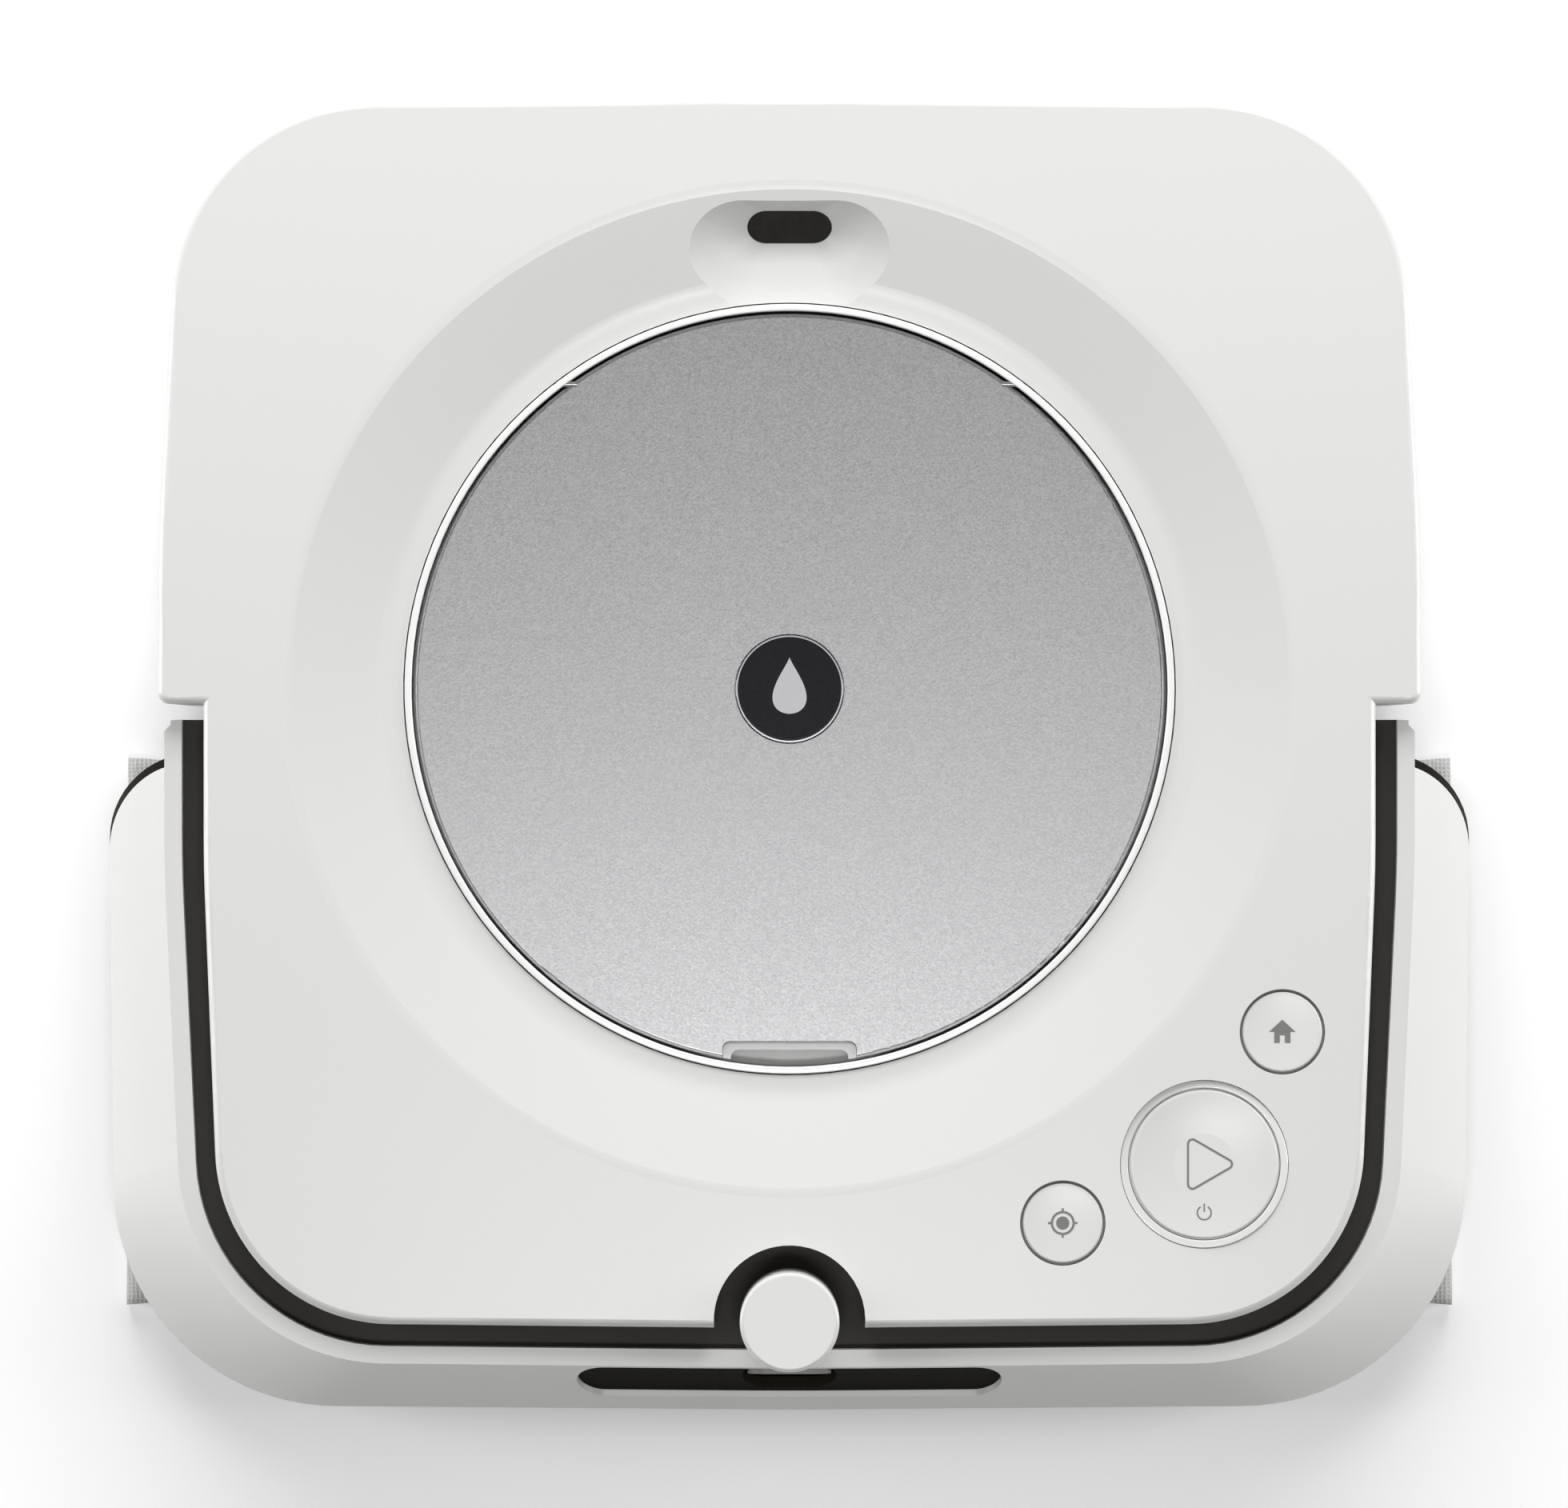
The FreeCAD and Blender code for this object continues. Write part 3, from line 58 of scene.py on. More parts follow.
# Mesh helpers
MERGE_DISTANCE = 1e-6                # points nearer than this become one
TURNING_STEPS = 96                   # round a turned form
RING_STEPS = 120                     # round a thin ring
RAY_START_Z = 0.2                    # higher than anything on the robot
PRINT_LIFT = 0.00005                 # how far a print stands above what it lies on

# Badge
BADGE_FOOT = 0.0001                  # chamfer of the lower edge
BADGE_EDGE = 0.0004                  # radius of the upper edge
BADGE_EDGE_STEPS = 6
BADGE_CROWN = 0.00002                # how far the middle stands above the edge
BADGE_CROWN_RINGS = (0.9, 0.75, 0.6, 0.45, 0.3, 0.15, 0.0)
BADGE_LINE_INSET = 0.00035
BADGE_LINE_WIDTH = 0.0003
BADGE_LINE_LIFT = 0.00006
DROP_SIZE = 0.0056
DROP_MIDDLE = (0.0, -0.0012)
DROP_LIFT = 0.00008

# Small buttons: a grey ring of painted shade on the floors of their round grooves
GROOVE_SHADE_MIDDLE = 0.00812
GROOVE_SHADE_WIDTH = 0.0004

POWER_SIGN_Y = -0.0096               # the power sign, from the middle of the big button

# Mop pad
PAD_CELL = 0.0038
PAD_INSET = 0.0003                   # the pad starts this much inside the space that it fills
PAD_LIFT = 0.0004                    # of its start above that space's bottom
PAD_DROP = 0.0006                    # of its start below that space's top
HEM_CREASE = 0.55
CORNER_CREASE = 0.9
CARD_MARGIN = 0.001
CARD_GAP = 0.00005                   # between the cloth and its card
FREE_RISE = 0.0012                   # how far the cloth may stand above its space beside the card
PAD_SWELL = 0.0025                   # how far the filling may move a point
FILL_FRAMES = 20

# Studio
FLOOR_REACH = 2.5
FLOOR_GLOW = 0.2
WORLD_LIGHT = 0.06                   # what the room gives the robot
BACKDROP_LIGHT = 0.95                # how bright the room itself looks
LAMPS = (
    # name, place, width, height, watts, whether it shows in glossy surfaces
    ("rear_key", (0.0, 0.95, 0.85), 1.2, 0.5, 12.0, False),
    ("rear_low", (0.0, 1.40, 0.45), 1.4, 0.4, 9.0, False),
    ("glint", (0.0, -0.52, 2.00), 0.6, 0.22, 8.6, True),
    ("left_low", (-1.3, 0.05, 0.40), 0.4, 0.9, 8.8, True),
    ("right_low", (1.3, 0.05, 0.40), 0.4, 0.9, 8.8, True),
)

# The sockets of a colour mix node go by number, because their names repeat
MIX_FACTOR = 0
MIX_DARK = 6
MIX_LIGHT = 7
MIX_RESULT = 2


# ---------------------------------------------------------------- material nodes
class Recipe:
    """One procedural material, built node by node in the row frame's coordinates."""

    def __init__(self, name, **sockets):
        self.material = bpy.data.materials.new(name)
        self.material.use_nodes = True
        self.tree = self.material.node_tree
        self.shader = self.tree.nodes["Principled BSDF"]
        self.place = self.tree.nodes.new("ShaderNodeTexCoord").outputs["Object"]
        for socket, value in sockets.items():
            self.shader.inputs[socket.replace("_", " ")].default_value = value

    def feed(self, socket, value):
        """Links another node's output to a socket, or sets the socket's own value."""
        if isinstance(value, bpy.types.NodeSocket):
            self.tree.links.new(value, socket)
        else:
            socket.default_value = value

    def add(self, kind, **inputs):
        """A new shader node with the inputs given by name."""
        node = self.tree.nodes.new("ShaderNode" + kind)
        for name, value in inputs.items():
            self.feed(node.inputs[name.replace("_", " ")], value)
        return node

    def noise(self, size, detail=2.0, roughness=0.5, place=None):
        """Noise whose lumps are about size metres across."""
        return self.add("TexNoise", Vector=place or self.place, Scale=1 / size, Detail=detail,
                        Roughness=roughness).outputs["Fac"]

    def cells(self, size):
        """A pattern of cells, about size metres across."""
        return self.add("TexVoronoi", Vector=self.place, Scale=1 / size)

    def stretched(self, x, y, z):
        """The row frame's coordinates, scaled along each axis."""
        return self.add("Mapping", Vector=self.place, Scale=(x, y, z)).outputs["Vector"]

    def spread(self, value, low, high):
        """value, from 0 to 1, spread between low and high."""
        return self.add("MapRange", Value=value, To_Min=low, To_Max=high).outputs["Result"]

    def math(self, operation, a, b):
        """One sum on two values, each a number or another node's output."""
        node = self.add("Math")
        node.operation = operation
        self.feed(node.inputs[0], a)
        self.feed(node.inputs[1], b)
        return node.outputs[0]

    def blend(self, factor, dark, light):
        """A colour between dark and light, each a colour or another node's output."""
        node = self.add("Mix")
        node.data_type = "RGBA"
        self.feed(node.inputs[MIX_FACTOR], factor)
        for number, colour in ((MIX_DARK, dark), (MIX_LIGHT, light)):
            self.feed(node.inputs[number], (*colour, 1.0) if isinstance(colour, tuple) else colour)
        return node.outputs[MIX_RESULT]

    def bump(self, height, depth, strength=1.0):
        """The normals of a bump of the given depth in metres."""
        return self.add("Bump", Height=height, Distance=depth, Strength=strength).outputs["Normal"]

    def colour(self, socket):
        self.tree.links.new(socket, self.shader.inputs["Base Color"])

    def rough(self, socket):
        self.tree.links.new(socket, self.shader.inputs["Roughness"])

    def normal(self, socket):
        self.tree.links.new(socket, self.shader.inputs["Normal"])


def shade(colour, amount):
    """The same colour, darker or lighter."""
    return tuple(c * amount for c in colour)


def moulded(name, colour, rough, grain, depth, tint, **sockets):
    """Injection moulded plastic: a fine grain in the gloss, and slow changes of tone."""
    r = Recipe(name, **sockets)
    slow = r.noise(0.045, detail=3.0)
    r.colour(r.blend(slow, shade(colour, 1 - tint), colour))
    fine = r.noise(grain, detail=3.0, roughness=0.6)
    r.rough(r.spread(fine, rough - 0.04, rough + 0.05))
    r.normal(r.bump(fine, depth))
    return r.material


def silver_flake(name):
    """Silver paint: its flakes differ a little in tone, in gloss and in height."""
    flake_size = 0.00032
    clump_size = 0.0008
    dark = (0.50, 0.50, 0.51)
    light = (0.68, 0.68, 0.69)
    r = Recipe(name, Metallic=0.85)
    flakes = r.cells(flake_size)
    split = r.add("SeparateColor", Color=flakes.outputs["Color"])
    clumps = r.noise(clump_size, detail=3.0, roughness=0.7)
    tone = r.math("ADD", r.math("MULTIPLY", split.outputs[0], 0.6), r.math("MULTIPLY", clumps, 0.4))
    r.colour(r.blend(tone, dark, light))
    r.rough(r.spread(split.outputs[1], 0.32, 0.42))
    r.normal(r.bump(tone, 0.000012, strength=0.5))
    return r.material


def frosted(name, colour, rough, transmission, **sockets):
    """Clear or cloudy plastic with fine streaks from the mould."""
    r = Recipe(name, Transmission_Weight=transmission, IOR=1.49, **sockets)
    streaks = r.noise(0.012, place=r.stretched(1, 4, 1))
    r.colour(r.blend(streaks, shade(colour, 0.96), colour))
    fine = r.noise(0.0008)
    r.rough(r.spread(fine, rough, rough + 0.05))
    r.normal(r.bump(fine, 0.000006))
    return r.material


def turned_metal(name, colour, rough):
    """Turned or rolled metal: fine lines along one direction."""
    r = Recipe(name, Metallic=1.0)
    lines = r.noise(0.004, detail=4.0, roughness=0.7, place=r.stretched(14, 1, 1))
    r.colour(r.blend(lines, shade(colour, 0.8), colour))
    r.rough(r.spread(lines, rough - 0.06, rough + 0.12))
    r.normal(r.bump(lines, 0.00002, strength=0.5))
    return r.material


def rubber(name, colour, rough):
    """Soft rubber with dust on it and a fine skin."""
    r = Recipe(name, Specular_IOR_Level=0.35)
    dust = r.noise(0.009, detail=5.0, roughness=0.65)
    dusty = tuple(c * 0.8 + 0.02 for c in colour)
    r.colour(r.blend(dust, colour, dusty))
    skin = r.noise(0.0006, detail=3.0, roughness=0.6)
    r.rough(r.spread(skin, rough - 0.08, rough + 0.08))
    r.normal(r.bump(skin, 0.00004))
    return r.material


def woven(name, colour, pitch):
    """Microfibre cloth: two crossing sets of threads that wander a little, and loose fibres."""
    waves_per_metre = 3.14           # of a wave texture with a scale of 1, roughly
    threads_per_metre = 1 / pitch
    wander = 0.0009
    r = Recipe(name, Sheen_Weight=0.35, Sheen_Roughness=0.5, Specular_IOR_Level=0.15)
    shifted = r.add("VectorMath", Vector=r.place)
    shifted.operation = "ADD"
    r.feed(shifted.inputs[1], r.math("MULTIPLY", r.noise(0.006), wander))
    threads = []
    for axis in ("X", "Y"):
        wave = r.add("TexWave", Vector=shifted.outputs[0], Scale=threads_per_metre / waves_per_metre,
                     Distortion=1.2)
        wave.bands_direction = axis
        threads.append(wave.outputs["Fac"])
    crossing = r.math("MAXIMUM", threads[0], r.math("MULTIPLY", threads[1], 0.8))
    fibres = r.noise(0.0012, detail=4.0, roughness=0.75, place=r.stretched(1, 6, 1))
    cloth = r.math("ADD", r.math("MULTIPLY", crossing, 0.6), r.math("MULTIPLY", fibres, 0.5))
    r.colour(r.blend(cloth, shade(colour, 0.6), colour))
    r.rough(r.spread(fibres, 0.85, 1.0))
    r.normal(r.bump(cloth, 0.0003, strength=0.8))
    return r.material


def circuit_board(name):
    """Green solder mask over copper tracks, with pale pads."""
    track_size = 0.004
    track_edge = 0.62                # how far from a cell's middle, in cells
    pad_size = 0.0065
    pad_edge = 0.16
    mask = (0.02, 0.13, 0.06)
    mask_on_track = (0.03, 0.20, 0.09)
    tin = (0.62, 0.60, 0.52)
    r = Recipe(name, Coat_Weight=0.3, Coat_Roughness=0.2)
    tracks = r.cells(track_size)
    tracks.distance = "CHEBYCHEV"
    edge = r.math("GREATER_THAN", tracks.outputs["Distance"], track_edge)
    pads = r.cells(pad_size)
    dot = r.math("LESS_THAN", pads.outputs["Distance"], pad_edge)
    r.colour(r.blend(dot, r.blend(edge, mask, mask_on_track), tin))
    r.rough(r.spread(r.noise(0.002, detail=3.0), 0.35, 0.5))
    r.normal(r.bump(edge, 0.00003))
    return r.material


def smoked_window(name):
    """Polished dark plastic with faint flow lines."""
    dark = (0.018, 0.017, 0.016)
    light = (0.05, 0.047, 0.043)
    r = Recipe(name, Coat_Weight=0.8, Coat_Roughness=0.03, Specular_IOR_Level=0.7)
    flow = r.noise(0.006, detail=3.0, place=r.stretched(2, 1, 1))
    r.colour(r.blend(flow, dark, light))
    r.rough(r.spread(flow, 0.08, 0.14))
    return r.material


MATERIALS = {
    "white_plastic": moulded("white_plastic", (0.74, 0.74, 0.725), rough=0.34, grain=0.0008, depth=0.000006,
                             tint=0.012, Coat_Weight=0.18, Coat_Roughness=0.22),
    "white_frame": moulded("white_frame", (0.80, 0.80, 0.79), rough=0.42, grain=0.0007, depth=0.00001,
                           tint=0.02),
    "dark_plastic": moulded("dark_plastic", (0.040, 0.036, 0.031), rough=0.55, grain=0.0006, depth=0.00002,
                            tint=0.15, Specular_IOR_Level=0.3),
    "pan_plastic": moulded("pan_plastic", (0.16, 0.16, 0.165), rough=0.58, grain=0.0009, depth=0.00005,
                           tint=0.12),
    "silver_flake": silver_flake("silver_flake"),
    "clear_plastic": frosted("clear_plastic", (0.93, 0.93, 0.94), rough=0.08, transmission=0.35,
                             Coat_Weight=0.5, Coat_Roughness=0.05),
    "badge_black": moulded("badge_black", (0.014, 0.014, 0.017), rough=0.18, grain=0.0008, depth=0.000004,
                           tint=0.1, Coat_Weight=0.6, Coat_Roughness=0.08),
    "window_dark": smoked_window("window_dark"),
    "light_guide": frosted("light_guide", (0.95, 0.95, 0.93), rough=0.12, transmission=0.1,
                           Coat_Weight=0.5, Coat_Roughness=0.08),
    "tank_plastic": frosted("tank_plastic", (0.66, 0.70, 0.74), rough=0.35, transmission=0.5),
    "circuit_board": circuit_board("circuit_board"),
    "battery_wrap": moulded("battery_wrap", (0.05, 0.08, 0.16), rough=0.3, grain=0.006, depth=0.00008,
                            tint=0.2),
    "steel": turned_metal("steel", (0.62, 0.62, 0.63), rough=0.3),
    "contact_metal": turned_metal("contact_metal", (0.75, 0.64, 0.38), rough=0.22),
    "seal_rubber": rubber("seal_rubber", (0.035, 0.035, 0.035), rough=0.6),
    "tyre_rubber": rubber("tyre_rubber", (0.04, 0.04, 0.042), rough=0.75),
    "gear_plastic": moulded("gear_plastic", (0.78, 0.76, 0.68), rough=0.4, grain=0.0008, depth=0.00001,
                            tint=0.06),
    "hose_silicone": frosted("hose_silicone", (0.74, 0.74, 0.72), rough=0.4, transmission=0.3),
    "pad_fabric": woven("pad_fabric", (0.72, 0.72, 0.71), pitch=0.0009),
    "pad_card_board": moulded("pad_card_board", (0.76, 0.76, 0.75), rough=0.8, grain=0.0016, depth=0.00006,
                              tint=0.08),
}
# Grey ink for the signs on the buttons; the same grey paints the shade in the small buttons' grooves
INK_AND_SHADE = moulded("ink_and_painted_shade", (0.21, 0.21, 0.20), rough=0.5, grain=0.0004, depth=0.000004, tint=0.08)
EMBLEM = moulded("emblem_silver", (0.62, 0.62, 0.64), rough=0.3, grain=0.0004, depth=0.000004, tint=0.04,
                 Metallic=0.4)

# Nodes whose colour differs from their slot's plastic to stand in for light and shade: painted light on the
# tank rim, painted shade on the nozzle panel, partly painted light on the spray nozzle
PAINTED_LIGHT_AND_SHADE = {
    # Painted light: a whiter copy of the white plastic, so that the rim's wall deep in the recess looks
    # less shaded
    "tank_rim": moulded("rim_painted_light", (0.92, 0.92, 0.91), rough=0.28, grain=0.0008, depth=0.000004,
                        tint=0.012, Coat_Weight=0.3, Coat_Roughness=0.15),
    # Partly the panel's own dark plastic, partly painted shade: darker than the dark plastic so that the
    # front slot looks shaded
    "nozzle_panel": moulded("panel_dark_and_painted_shade", (0.013, 0.012, 0.008), rough=0.7, grain=0.0006, depth=0.00003,
                            tint=0.15, Specular_IOR_Level=0.08),
    # Partly the nozzle's own lighter grey, partly painted light: light enough to stand out from the shade
    # of the slot
    "spray_nozzle": moulded("nozzle_grey_and_painted_light", (0.40, 0.39, 0.36), rough=0.45, grain=0.0006, depth=0.00002,
                            tint=0.1),
}

for part in frame["record"]["subparts"]:
    for cad_slot in nodes[part["node"]].material_slots:
        cad_slot.material = PAINTED_LIGHT_AND_SHADE.get(part["node"], MATERIALS[part["material_slot"]])


# ---------------------------------------------------------------- mesh helpers
def mesh_object(name, vertices, faces, material, body):
    """A smooth mesh of one material that rides on a body."""
    mesh = bpy.data.meshes.new(name)
    mesh.from_pydata(vertices, [], faces)
    mesh.validate()
    for face in mesh.polygons:
        face.use_smooth = True
    obj = bpy.data.objects.new(name, mesh)
    bpy.context.scene.collection.objects.link(obj)
    mesh.materials.append(material)
    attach(obj, body)
    return obj


def lathe(profile, centre):
    """Vertices and faces of a form turned about a vertical axis, from (radius, z) points."""
    vertices = []
    faces = []
    count = len(profile)
    for i in range(TURNING_STEPS):
        angle = 2 * math.pi * i / TURNING_STEPS
        for radius, z in profile:
            vertices.append((centre[0] + radius * math.cos(angle), centre[1] + radius * math.sin(angle), z))
        for j in range(count - 1):
            a = i * count + j
            b = (i + 1) % TURNING_STEPS * count + j
            faces.append((a, b, b + 1, a + 1))
    return vertices, faces


def clean(obj):
    """Joins the points that coincide and turns the faces outwards."""
    form = bmesh.new()
    form.from_mesh(obj.data)
    bmesh.ops.remove_doubles(form, verts=form.verts, dist=MERGE_DISTANCE)
    bmesh.ops.recalc_face_normals(form, faces=form.faces)
    form.to_mesh(obj.data)
    form.free()


def ribbon(points, width, closed=False):
    """Quads along a line in the plane, from the midline's points."""
    quads = []
    count = len(points)
    sides = []
    for i, (x, y) in enumerate(points):
        if closed:
            before, after = points[i - 1], points[(i + 1) % count]
        else:
            before, after = points[max(i - 1, 0)], points[min(i + 1, count - 1)]
        along = Vector((after[0] - before[0], after[1] - before[1])).normalized()
        across = Vector((-along.y, along.x)) * width / 2
        sides.append(((x + across.x, y + across.y), (x - across.x, y - across.y)))
    for i in range(count if closed else count - 1):
        (a, b), (c, d) = sides[i], sides[(i + 1) % count]
        quads.append((a, b, d, c))
    return quads


def arc(radius, start, end, steps):
    """Points along part of a circle."""
    angles = [math.radians(start + (end - start) * i / steps) for i in range(steps + 1)]
    return [(radius * math.cos(a), radius * math.sin(a)) for a in angles]


def ring(radius, width, steps=RING_STEPS):
    """Quads round a thin ring."""
    return ribbon(arc(radius, 0, 360, steps)[:-1], width, closed=True)


def disc(radius, rings=4, steps=40):
    """A filled circle as rings of quads round a small middle polygon."""
    quads = []
    inner = radius / (2 * rings)
    radii = [inner + (radius - inner) * i / rings for i in range(rings + 1)]
    quads.append(tuple(arc(inner, 0, 360, steps)[:-1]))
    for low, high in zip(radii, radii[1:]):
        a = arc(low, 0, 360, steps)
        b = arc(high, 0, 360, steps)
        quads.extend((a[i], b[i], b[i + 1], a[i + 1]) for i in range(steps))
    return quads


def grid_fill(outline, middle, rings=5):
    """Quads between an outline and a middle point, in rings."""
    quads = []
    count = len(outline)
    for k in range(rings):
        low = k / rings
        high = (k + 1) / rings
        for i in range(count):
            a, b = outline[i], outline[(i + 1) % count]
            corners = [(a, low), (b, low), (b, high), (a, high)]
            patch = [(middle[0] + (p[0] - middle[0]) * s, middle[1] + (p[1] - middle[1]) * s)
                     for p, s in corners]
            quads.append(tuple(patch[1:] if k == 0 else patch))
    return quads


def surface_of(node):
    """A CAD node's faces, ready for ray casting."""
    return BVHTree.FromPolygons([v.co for v in nodes[node].data.vertices],
                                [p.vertices for p in nodes[node].data.polygons])


def thicken(obj, depth):
    """Turns flat faces that look up into a closed form that reaches depth below them."""
    form = bmesh.new()
    form.from_mesh(obj.data)
    for face in form.faces:
        if face.normal.z < 0:
            face.normal_flip()
    skirt = bmesh.ops.extrude_face_region(form, geom=list(form.faces))
    for item in skirt["geom"]:
        if isinstance(item, bmesh.types.BMVert):
            item.co.z -= depth
    bmesh.ops.recalc_face_normals(form, faces=form.faces)
    for face in form.faces:
        face.smooth = False
    form.to_mesh(obj.data)
    form.free()


def print_and_shade(name, patches, centre, node, body, material=INK_AND_SHADE, lift=PRINT_LIFT):
    """A thin raised print, from flat patches in metres about centre, laid on a CAD node's top. In the
    default grey it also makes the rings of painted shade in the buttons' grooves.
    """
    below = surface_of(node)
    vertices = []
    faces = []
    for patch in patches:
        start = len(vertices)
        for x, y in patch:
            spot = Vector((centre[0] + x, centre[1] + y, RAY_START_Z))
            hit = below.ray_cast(spot, Vector((0, 0, -1)))[0]
            vertices.append((spot.x, spot.y, hit.z + lift))
        faces.append(tuple(range(start, len(vertices))))
    obj = mesh_object(name, vertices, faces, material, body)
    clean(obj)
    thicken(obj, 2 * lift)


# ---------------------------------------------------------------- badge with a water drop
def drop_outline(size, steps=64):
    """A drop with its tip up: a circle drawn in towards the tip."""
    breadth = 0.86
    taper = 1.5
    rise = 0.12
    points = []
    for i in range(steps):
        t = 2 * math.pi * i / steps
        across = size * breadth * math.sin(t) * math.sin(t / 2) ** taper
        points.append((across, size * (rise + math.cos(t))))
    return points


def badge_profile(radius, bottom, top):
    """Half the badge's section: a chamfered foot, a rounded edge and a slight crown."""
    foot = BADGE_FOOT
    edge = BADGE_EDGE
    profile = [(0.0, bottom), (radius - foot, bottom), (radius, bottom + foot), (radius, top - edge)]
    for i in range(1, BADGE_EDGE_STEPS + 1):
        turn = math.pi / 2 * i / BADGE_EDGE_STEPS
        profile.append((radius - edge * (1 - math.cos(turn)), top - edge * (1 - math.sin(turn))))
    for share in BADGE_CROWN_RINGS:
        profile.append((radius * share, top + BADGE_CROWN * (1 - share)))
    return profile


def make_badge():
    """The round badge on the lid, with a thin silver ring and a drop."""
    low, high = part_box("badge")
    radius = (high.x - low.x) / 2
    vertices, faces = lathe(badge_profile(radius, low.z, high.z), HUB)
    badge = mesh_object("badge_disc", vertices, faces, MATERIALS["badge_black"], "tank_lid")
    clean(badge)
    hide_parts("badge")
    line = ring(radius - BADGE_LINE_INSET, BADGE_LINE_WIDTH)
    print_and_shade("badge_line", line, HUB, "badge", "tank_lid", EMBLEM, BADGE_LINE_LIFT)
    drop = grid_fill(drop_outline(DROP_SIZE), DROP_MIDDLE)
    print_and_shade("badge_drop", drop, HUB, "badge", "tank_lid", EMBLEM, DROP_LIFT)


# ---------------------------------------------------------------- signs on the buttons
def rectangle(left, right, bottom, top):
    return [(left, top), (left, bottom), (right, bottom), (right, top)]


def house_sign():
    """A roof on two walls, with the doorway left open."""
    ridge = 0.0024
    eaves = 0.0026
    ceiling = 0.0017
    wall = 0.0016
    door = 0.0005
    foot = -0.0022
    door_top = -0.0007
    roof = [(-eaves, 0.0), (0.0, ridge), (eaves, 0.0), (ceiling, 0.0), (-ceiling, 0.0)]
    left = rectangle(-wall, -door, foot, 0.0)
    right = rectangle(door, wall, foot, 0.0)
    lintel = rectangle(-door, door, door_top, 0.0)
    return [roof, left, right, lintel]


def target_sign():
    """A dot in a ring, with four short marks outside it."""
    dot = 0.0013
    circle = 0.00215
    circle_width = 0.00045
    mark_start = 0.0024
    mark_end = 0.0029
    mark_width = 0.0004
    patches = disc(dot)
    patches += ring(circle, circle_width, steps=60)
    for angle in range(0, 360, 90):
        c, s = math.cos(math.radians(angle)), math.sin(math.radians(angle))
        mark = [(c * mark_start, s * mark_start), (c * mark_end, s * mark_end)]
        patches += ribbon(mark, mark_width)
    return patches


def power_sign():
    """A circle that is open at the top, with a stroke in the opening."""
    circle = 0.00137
    circle_start = 122
    circle_end = 418
    line_width = 0.00028
    stroke = (0.0002, 0.0008, 0.0018)
    patches = ribbon(arc(circle, circle_start, circle_end, 40), line_width)
    patches += ribbon([(0.0, y) for y in stroke], line_width)
    return patches


def start_outline(reach, round_off, corner_steps=8):
    """A triangle that points right, with rounded corners."""
    corner_turn = 120
    points = []
    for corner in range(3):
        middle = math.radians(corner_turn * corner)
        x, y = reach * math.cos(middle), reach * math.sin(middle)
        for i in range(corner_steps + 1):
            turn = middle + math.radians(-corner_turn / 2 + corner_turn * i / corner_steps)
            points.append((x + round_off * math.cos(turn), y + round_off * math.sin(turn)))
    return points


def start_sign():
    """The triangle's outline as a thin line, in short pieces that follow the dished button."""
    line_width = 0.00042
    piece_length = 0.0005
    points = start_outline(reach=0.0046, round_off=0.0009)
    line = []
    for i, point in enumerate(points):
        following = points[(i + 1) % len(points)]
        pieces = max(1, int(math.dist(point, following) / piece_length))
        for k in range(pieces):
            share = k / pieces
            line.append((point[0] + (following[0] - point[0]) * share,
                         point[1] + (following[1] - point[1]) * share))
    return ribbon(line, line_width, closed=True)


def middle_of(node):
    low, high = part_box(node)
    return ((low.x + high.x) / 2, (low.y + high.y) / 2)


def make_signs():
    """The signs on the three buttons, and grey rings of painted shade in the grooves of the two small ones.
    """
    groove_shade = ring(GROOVE_SHADE_MIDDLE, GROOVE_SHADE_WIDTH)
    for key, sign in (("home", house_sign()), ("spot", target_sign())):
        button = key + "_button"
        print_and_shade(key + "_sign", sign, middle_of(button), button, key + "_key")
        # A grey ring of painted shade on the floor of the button's groove
        print_and_shade(key + "_groove", groove_shade, middle_of(button), button, key + "_key")
    x, y = middle_of("main_button")
    print_and_shade("start_sign", start_sign(), (x, y), "main_button", "main_key")
    print_and_shade("power_sign", power_sign(), (x, y + POWER_SIGN_Y), "main_button", "main_key")


# ---------------------------------------------------------------- mop pad
def around(layer):
    """The border of a grid of points, in order."""
    right = [line[-1] for line in layer[1:]]
    left = [line[0] for line in layer[-2:0:-1]]
    return layer[0] + right + layer[-1][-2::-1] + left


def pad_layers(form, low, high, columns, rows):
    """Two flat grids of points, the pad's underside and its top."""
    width = high.x - low.x - 2 * PAD_INSET
    depth = high.y - low.y - 2 * PAD_INSET
    layers = []
    for z in (low.z + PAD_LIFT, high.z - PAD_DROP):
        layer = []
        for j in range(rows + 1):
            y = low.y + PAD_INSET + depth * j / rows
            line = [form.verts.new((low.x + PAD_INSET + width * i / columns, y, z))
                    for i in range(columns + 1)]
            layer.append(line)
        layers.append(layer)
    return layers


def pad_start(low, high):
    """A closed flat pad of quads, a little smaller than the space that it fills."""
    columns = round((high.x - low.x - 2 * PAD_INSET) / PAD_CELL)
    rows = round((high.y - low.y - 2 * PAD_INSET) / PAD_CELL)
    form = bmesh.new()
    under, over = pad_layers(form, low, high, columns, rows)
    for j in range(rows):
        for i in range(columns):
            form.faces.new((under[j][i], under[j + 1][i], under[j + 1][i + 1], under[j][i + 1]))
            form.faces.new((over[j][i], over[j][i + 1], over[j + 1][i + 1], over[j + 1][i]))
    rim_under, rim_over = around(under), around(over)
    count = len(rim_under)
    crease = form.edges.layers.float.new("crease_edge")
    for k in range(count):
        n = (k + 1) % count
        form.faces.new((rim_under[k], rim_under[n], rim_over[n], rim_over[k]))
        for line in (rim_under, rim_over):
            form.edges.get((line[k], line[n]))[crease] = HEM_CREASE
    for k in (0, columns, columns + rows, 2 * columns + rows):
        form.edges.get((rim_under[k], rim_over[k]))[crease] = CORNER_CREASE
    return form


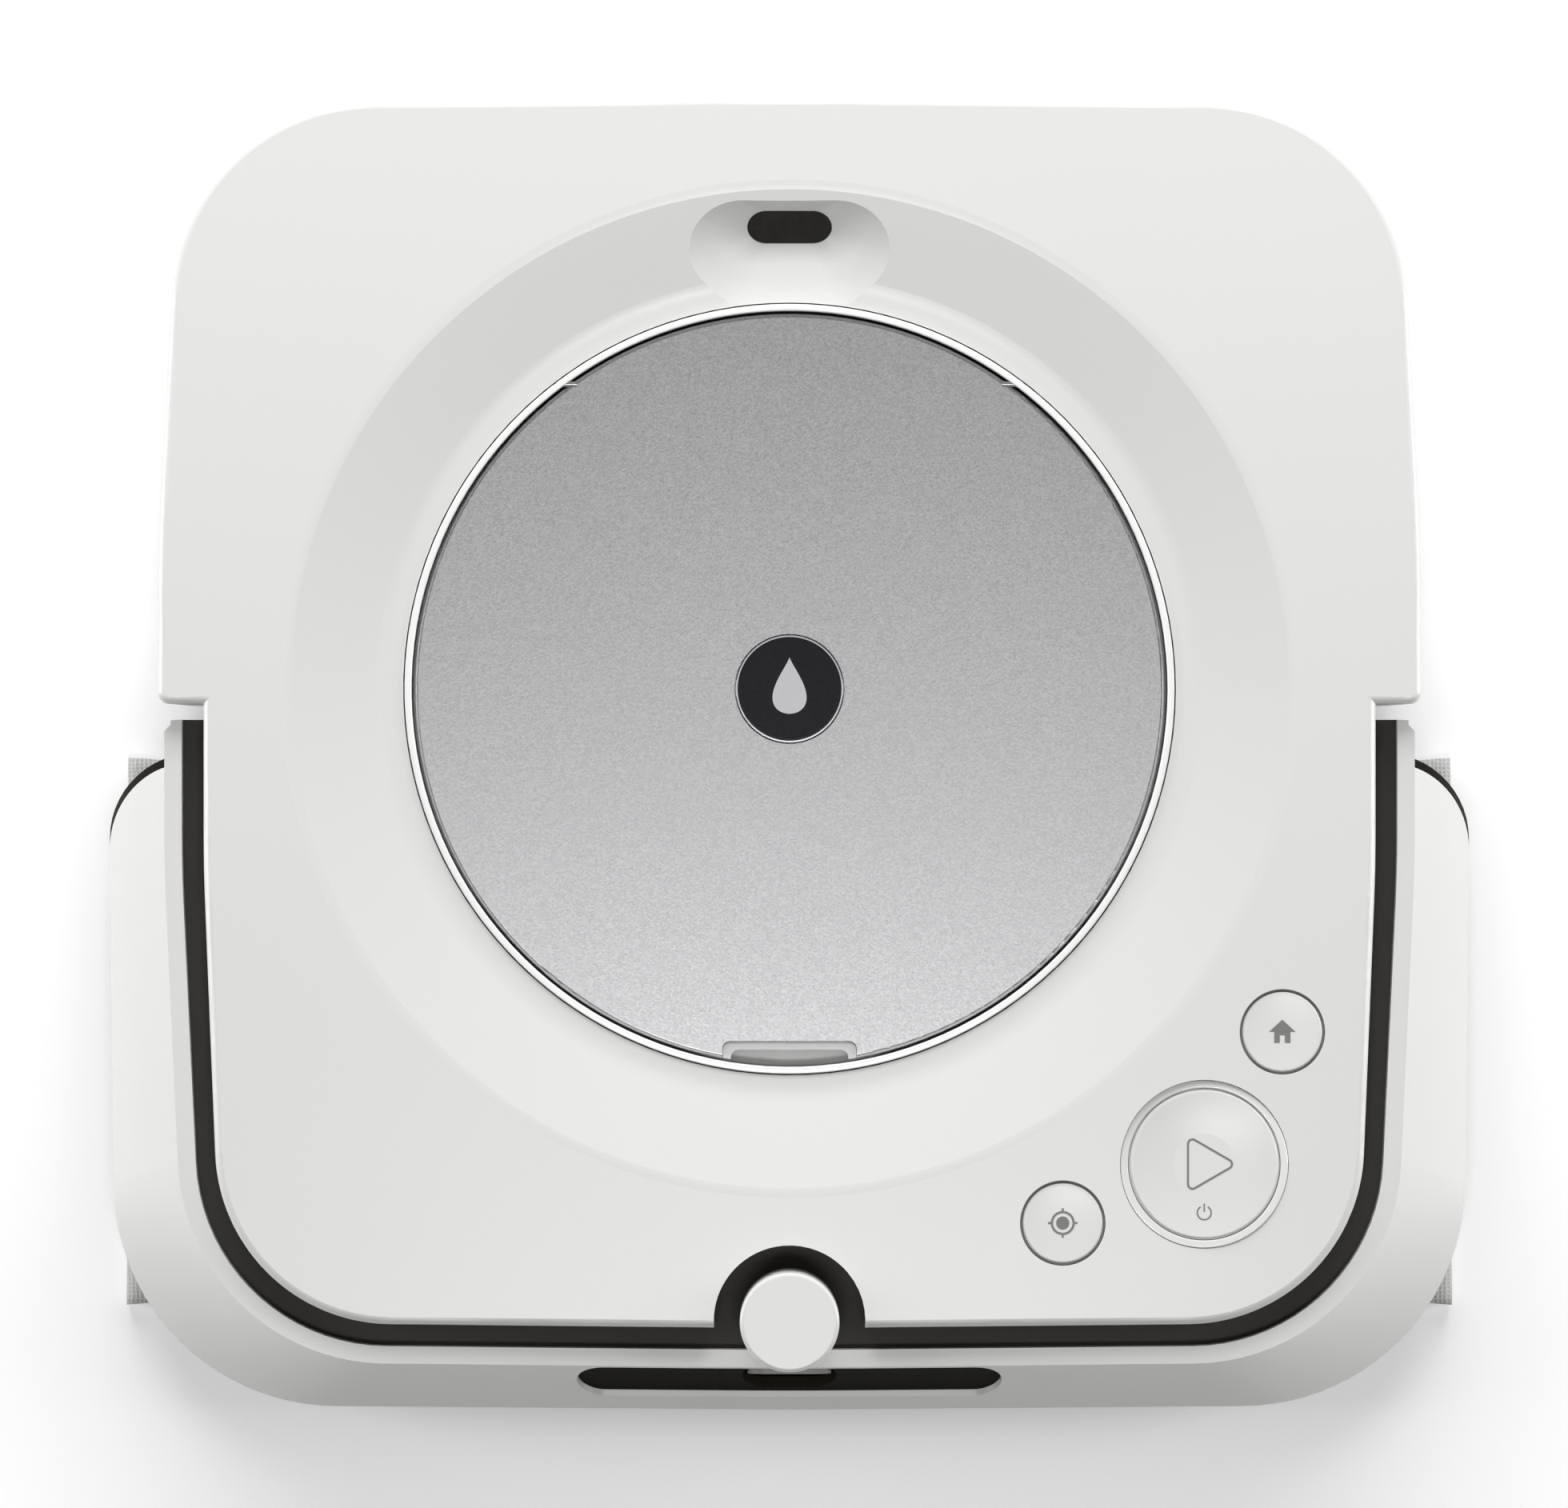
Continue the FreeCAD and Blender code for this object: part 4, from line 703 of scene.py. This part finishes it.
def inflate(obj):
    """Fills the pad by a cloth simulation with inner pressure, then limits how far a point moved."""
    start = [v.co.copy() for v in obj.data.vertices]
    cloth = obj.modifiers.new("fill", "CLOTH")
    settings = cloth.settings
    settings.quality = 6
    settings.mass = 0.2
    settings.tension_stiffness = 22
    settings.compression_stiffness = 22
    settings.bending_stiffness = 1.5
    settings.use_pressure = True
    settings.uniform_pressure_force = 4
    settings.effector_weights.gravity = 0
    cloth.point_cache.frame_start = 1
    cloth.point_cache.frame_end = FILL_FRAMES
    for number in range(1, FILL_FRAMES + 1):
        bpy.context.scene.frame_set(number)
    shown = obj.evaluated_get(bpy.context.evaluated_depsgraph_get())
    moved = [v.co.copy() for v in shown.data.vertices]
    obj.modifiers.remove(cloth)
    bpy.context.scene.frame_set(1)
    for vertex, before, after in zip(obj.data.vertices, start, moved):
        step = after - before
        if step.length > PAD_SWELL:
            step *= PAD_SWELL / step.length
        vertex.co = before + step


def settle(obj, low, high):
    """Presses the pad flat against the floor and its card, and lets it rise a little beside the card."""
    card_low, card_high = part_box("pad_card")
    for vertex in obj.data.vertices:
        co = vertex.co
        co.z = max(co.z, low.z)
        co.x = min(max(co.x, low.x), high.x)
        co.y = min(max(co.y, low.y), high.y)
        beside = abs(co.x) > card_high.x + CARD_MARGIN
        beyond = co.y > card_high.y or co.y < card_low.y - CARD_MARGIN
        co.z = min(co.z, high.z + (FREE_RISE if beside or beyond else -CARD_GAP))


def make_pad():
    low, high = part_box("pad_cloth")
    form = pad_start(low, high)
    mesh = bpy.data.meshes.new("mop_pad")
    form.to_mesh(mesh)
    form.free()
    pad = bpy.data.objects.new("mop_pad", mesh)
    bpy.context.scene.collection.objects.link(pad)
    mesh.materials.append(MATERIALS["pad_fabric"])
    inflate(pad)
    settle(pad, low, high)
    for face in mesh.polygons:
        face.use_smooth = True
    smooth = pad.modifiers.new("smooth", "SUBSURF")
    smooth.levels = 1
    smooth.render_levels = 1
    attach(pad, "pad")
    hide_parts("pad_cloth")


make_badge()
make_signs()
make_pad()


# ---------------------------------------------------------------- studio
def make_floor():
    """A wide pale floor. It glows a little, so that it looks white and its shadows stay pale."""
    darker = (0.93, 0.93, 0.93)
    lighter = (0.95, 0.95, 0.95)
    r = Recipe("studio_floor", Emission_Color=(1, 1, 1, 1), Emission_Strength=FLOOR_GLOW)
    r.colour(r.blend(r.noise(0.4), darker, lighter))
    r.rough(r.spread(r.noise(0.02), 0.9, 0.95))
    mesh = bpy.data.meshes.new("studio_floor")
    reach = FLOOR_REACH
    corners = [(-reach, -reach, 0), (reach, -reach, 0), (reach, reach, 0), (-reach, reach, 0)]
    mesh.from_pydata(corners, [], [(0, 1, 2, 3)])
    floor = bpy.data.objects.new("studio_floor", mesh)
    bpy.context.scene.collection.objects.link(floor)
    mesh.materials.append(r.material)


def softbox(name, place, width, height, watts, glossy):
    """A rectangular lamp turned towards the robot."""
    data = bpy.data.lights.new(name, "AREA")
    data.shape = "RECTANGLE"
    data.size = width
    data.size_y = height
    data.energy = watts
    lamp = bpy.data.objects.new(name, data)
    lamp.location = place
    aim = -Vector(place)
    lamp.rotation_mode = "QUATERNION"
    lamp.rotation_quaternion = aim.to_track_quat("-Z", "Y")
    lamp.visible_camera = False
    lamp.visible_glossy = glossy
    bpy.context.scene.collection.objects.link(lamp)


def make_camera():
    data = bpy.data.cameras.new("camera")
    data.lens = CAMERA_LENS
    data.sensor_width = CAMERA_SENSOR
    camera = bpy.data.objects.new("camera", data)
    camera.location = CAMERA_PLACE
    bpy.context.scene.collection.objects.link(camera)
    bpy.context.scene.camera = camera


def make_room():
    """A white world that looks brighter to the camera than it shines on the robot."""
    world = bpy.data.worlds.new("studio")
    bpy.context.scene.world = world
    world.use_nodes = True
    tree = world.node_tree
    backdrop = tree.nodes["Background"]
    backdrop.inputs["Color"].default_value = (1, 1, 1, 1)
    strength = tree.nodes.new("ShaderNodeMapRange")
    strength.inputs["To Min"].default_value = WORLD_LIGHT
    strength.inputs["To Max"].default_value = BACKDROP_LIGHT
    rays = tree.nodes.new("ShaderNodeLightPath")
    tree.links.new(rays.outputs["Is Camera Ray"], strength.inputs["Value"])
    tree.links.new(strength.outputs["Result"], backdrop.inputs["Strength"])


make_floor()
make_camera()
for lamp_values in LAMPS:
    softbox(*lamp_values)
make_room()
bpy.context.scene.view_settings.view_transform = "Standard"
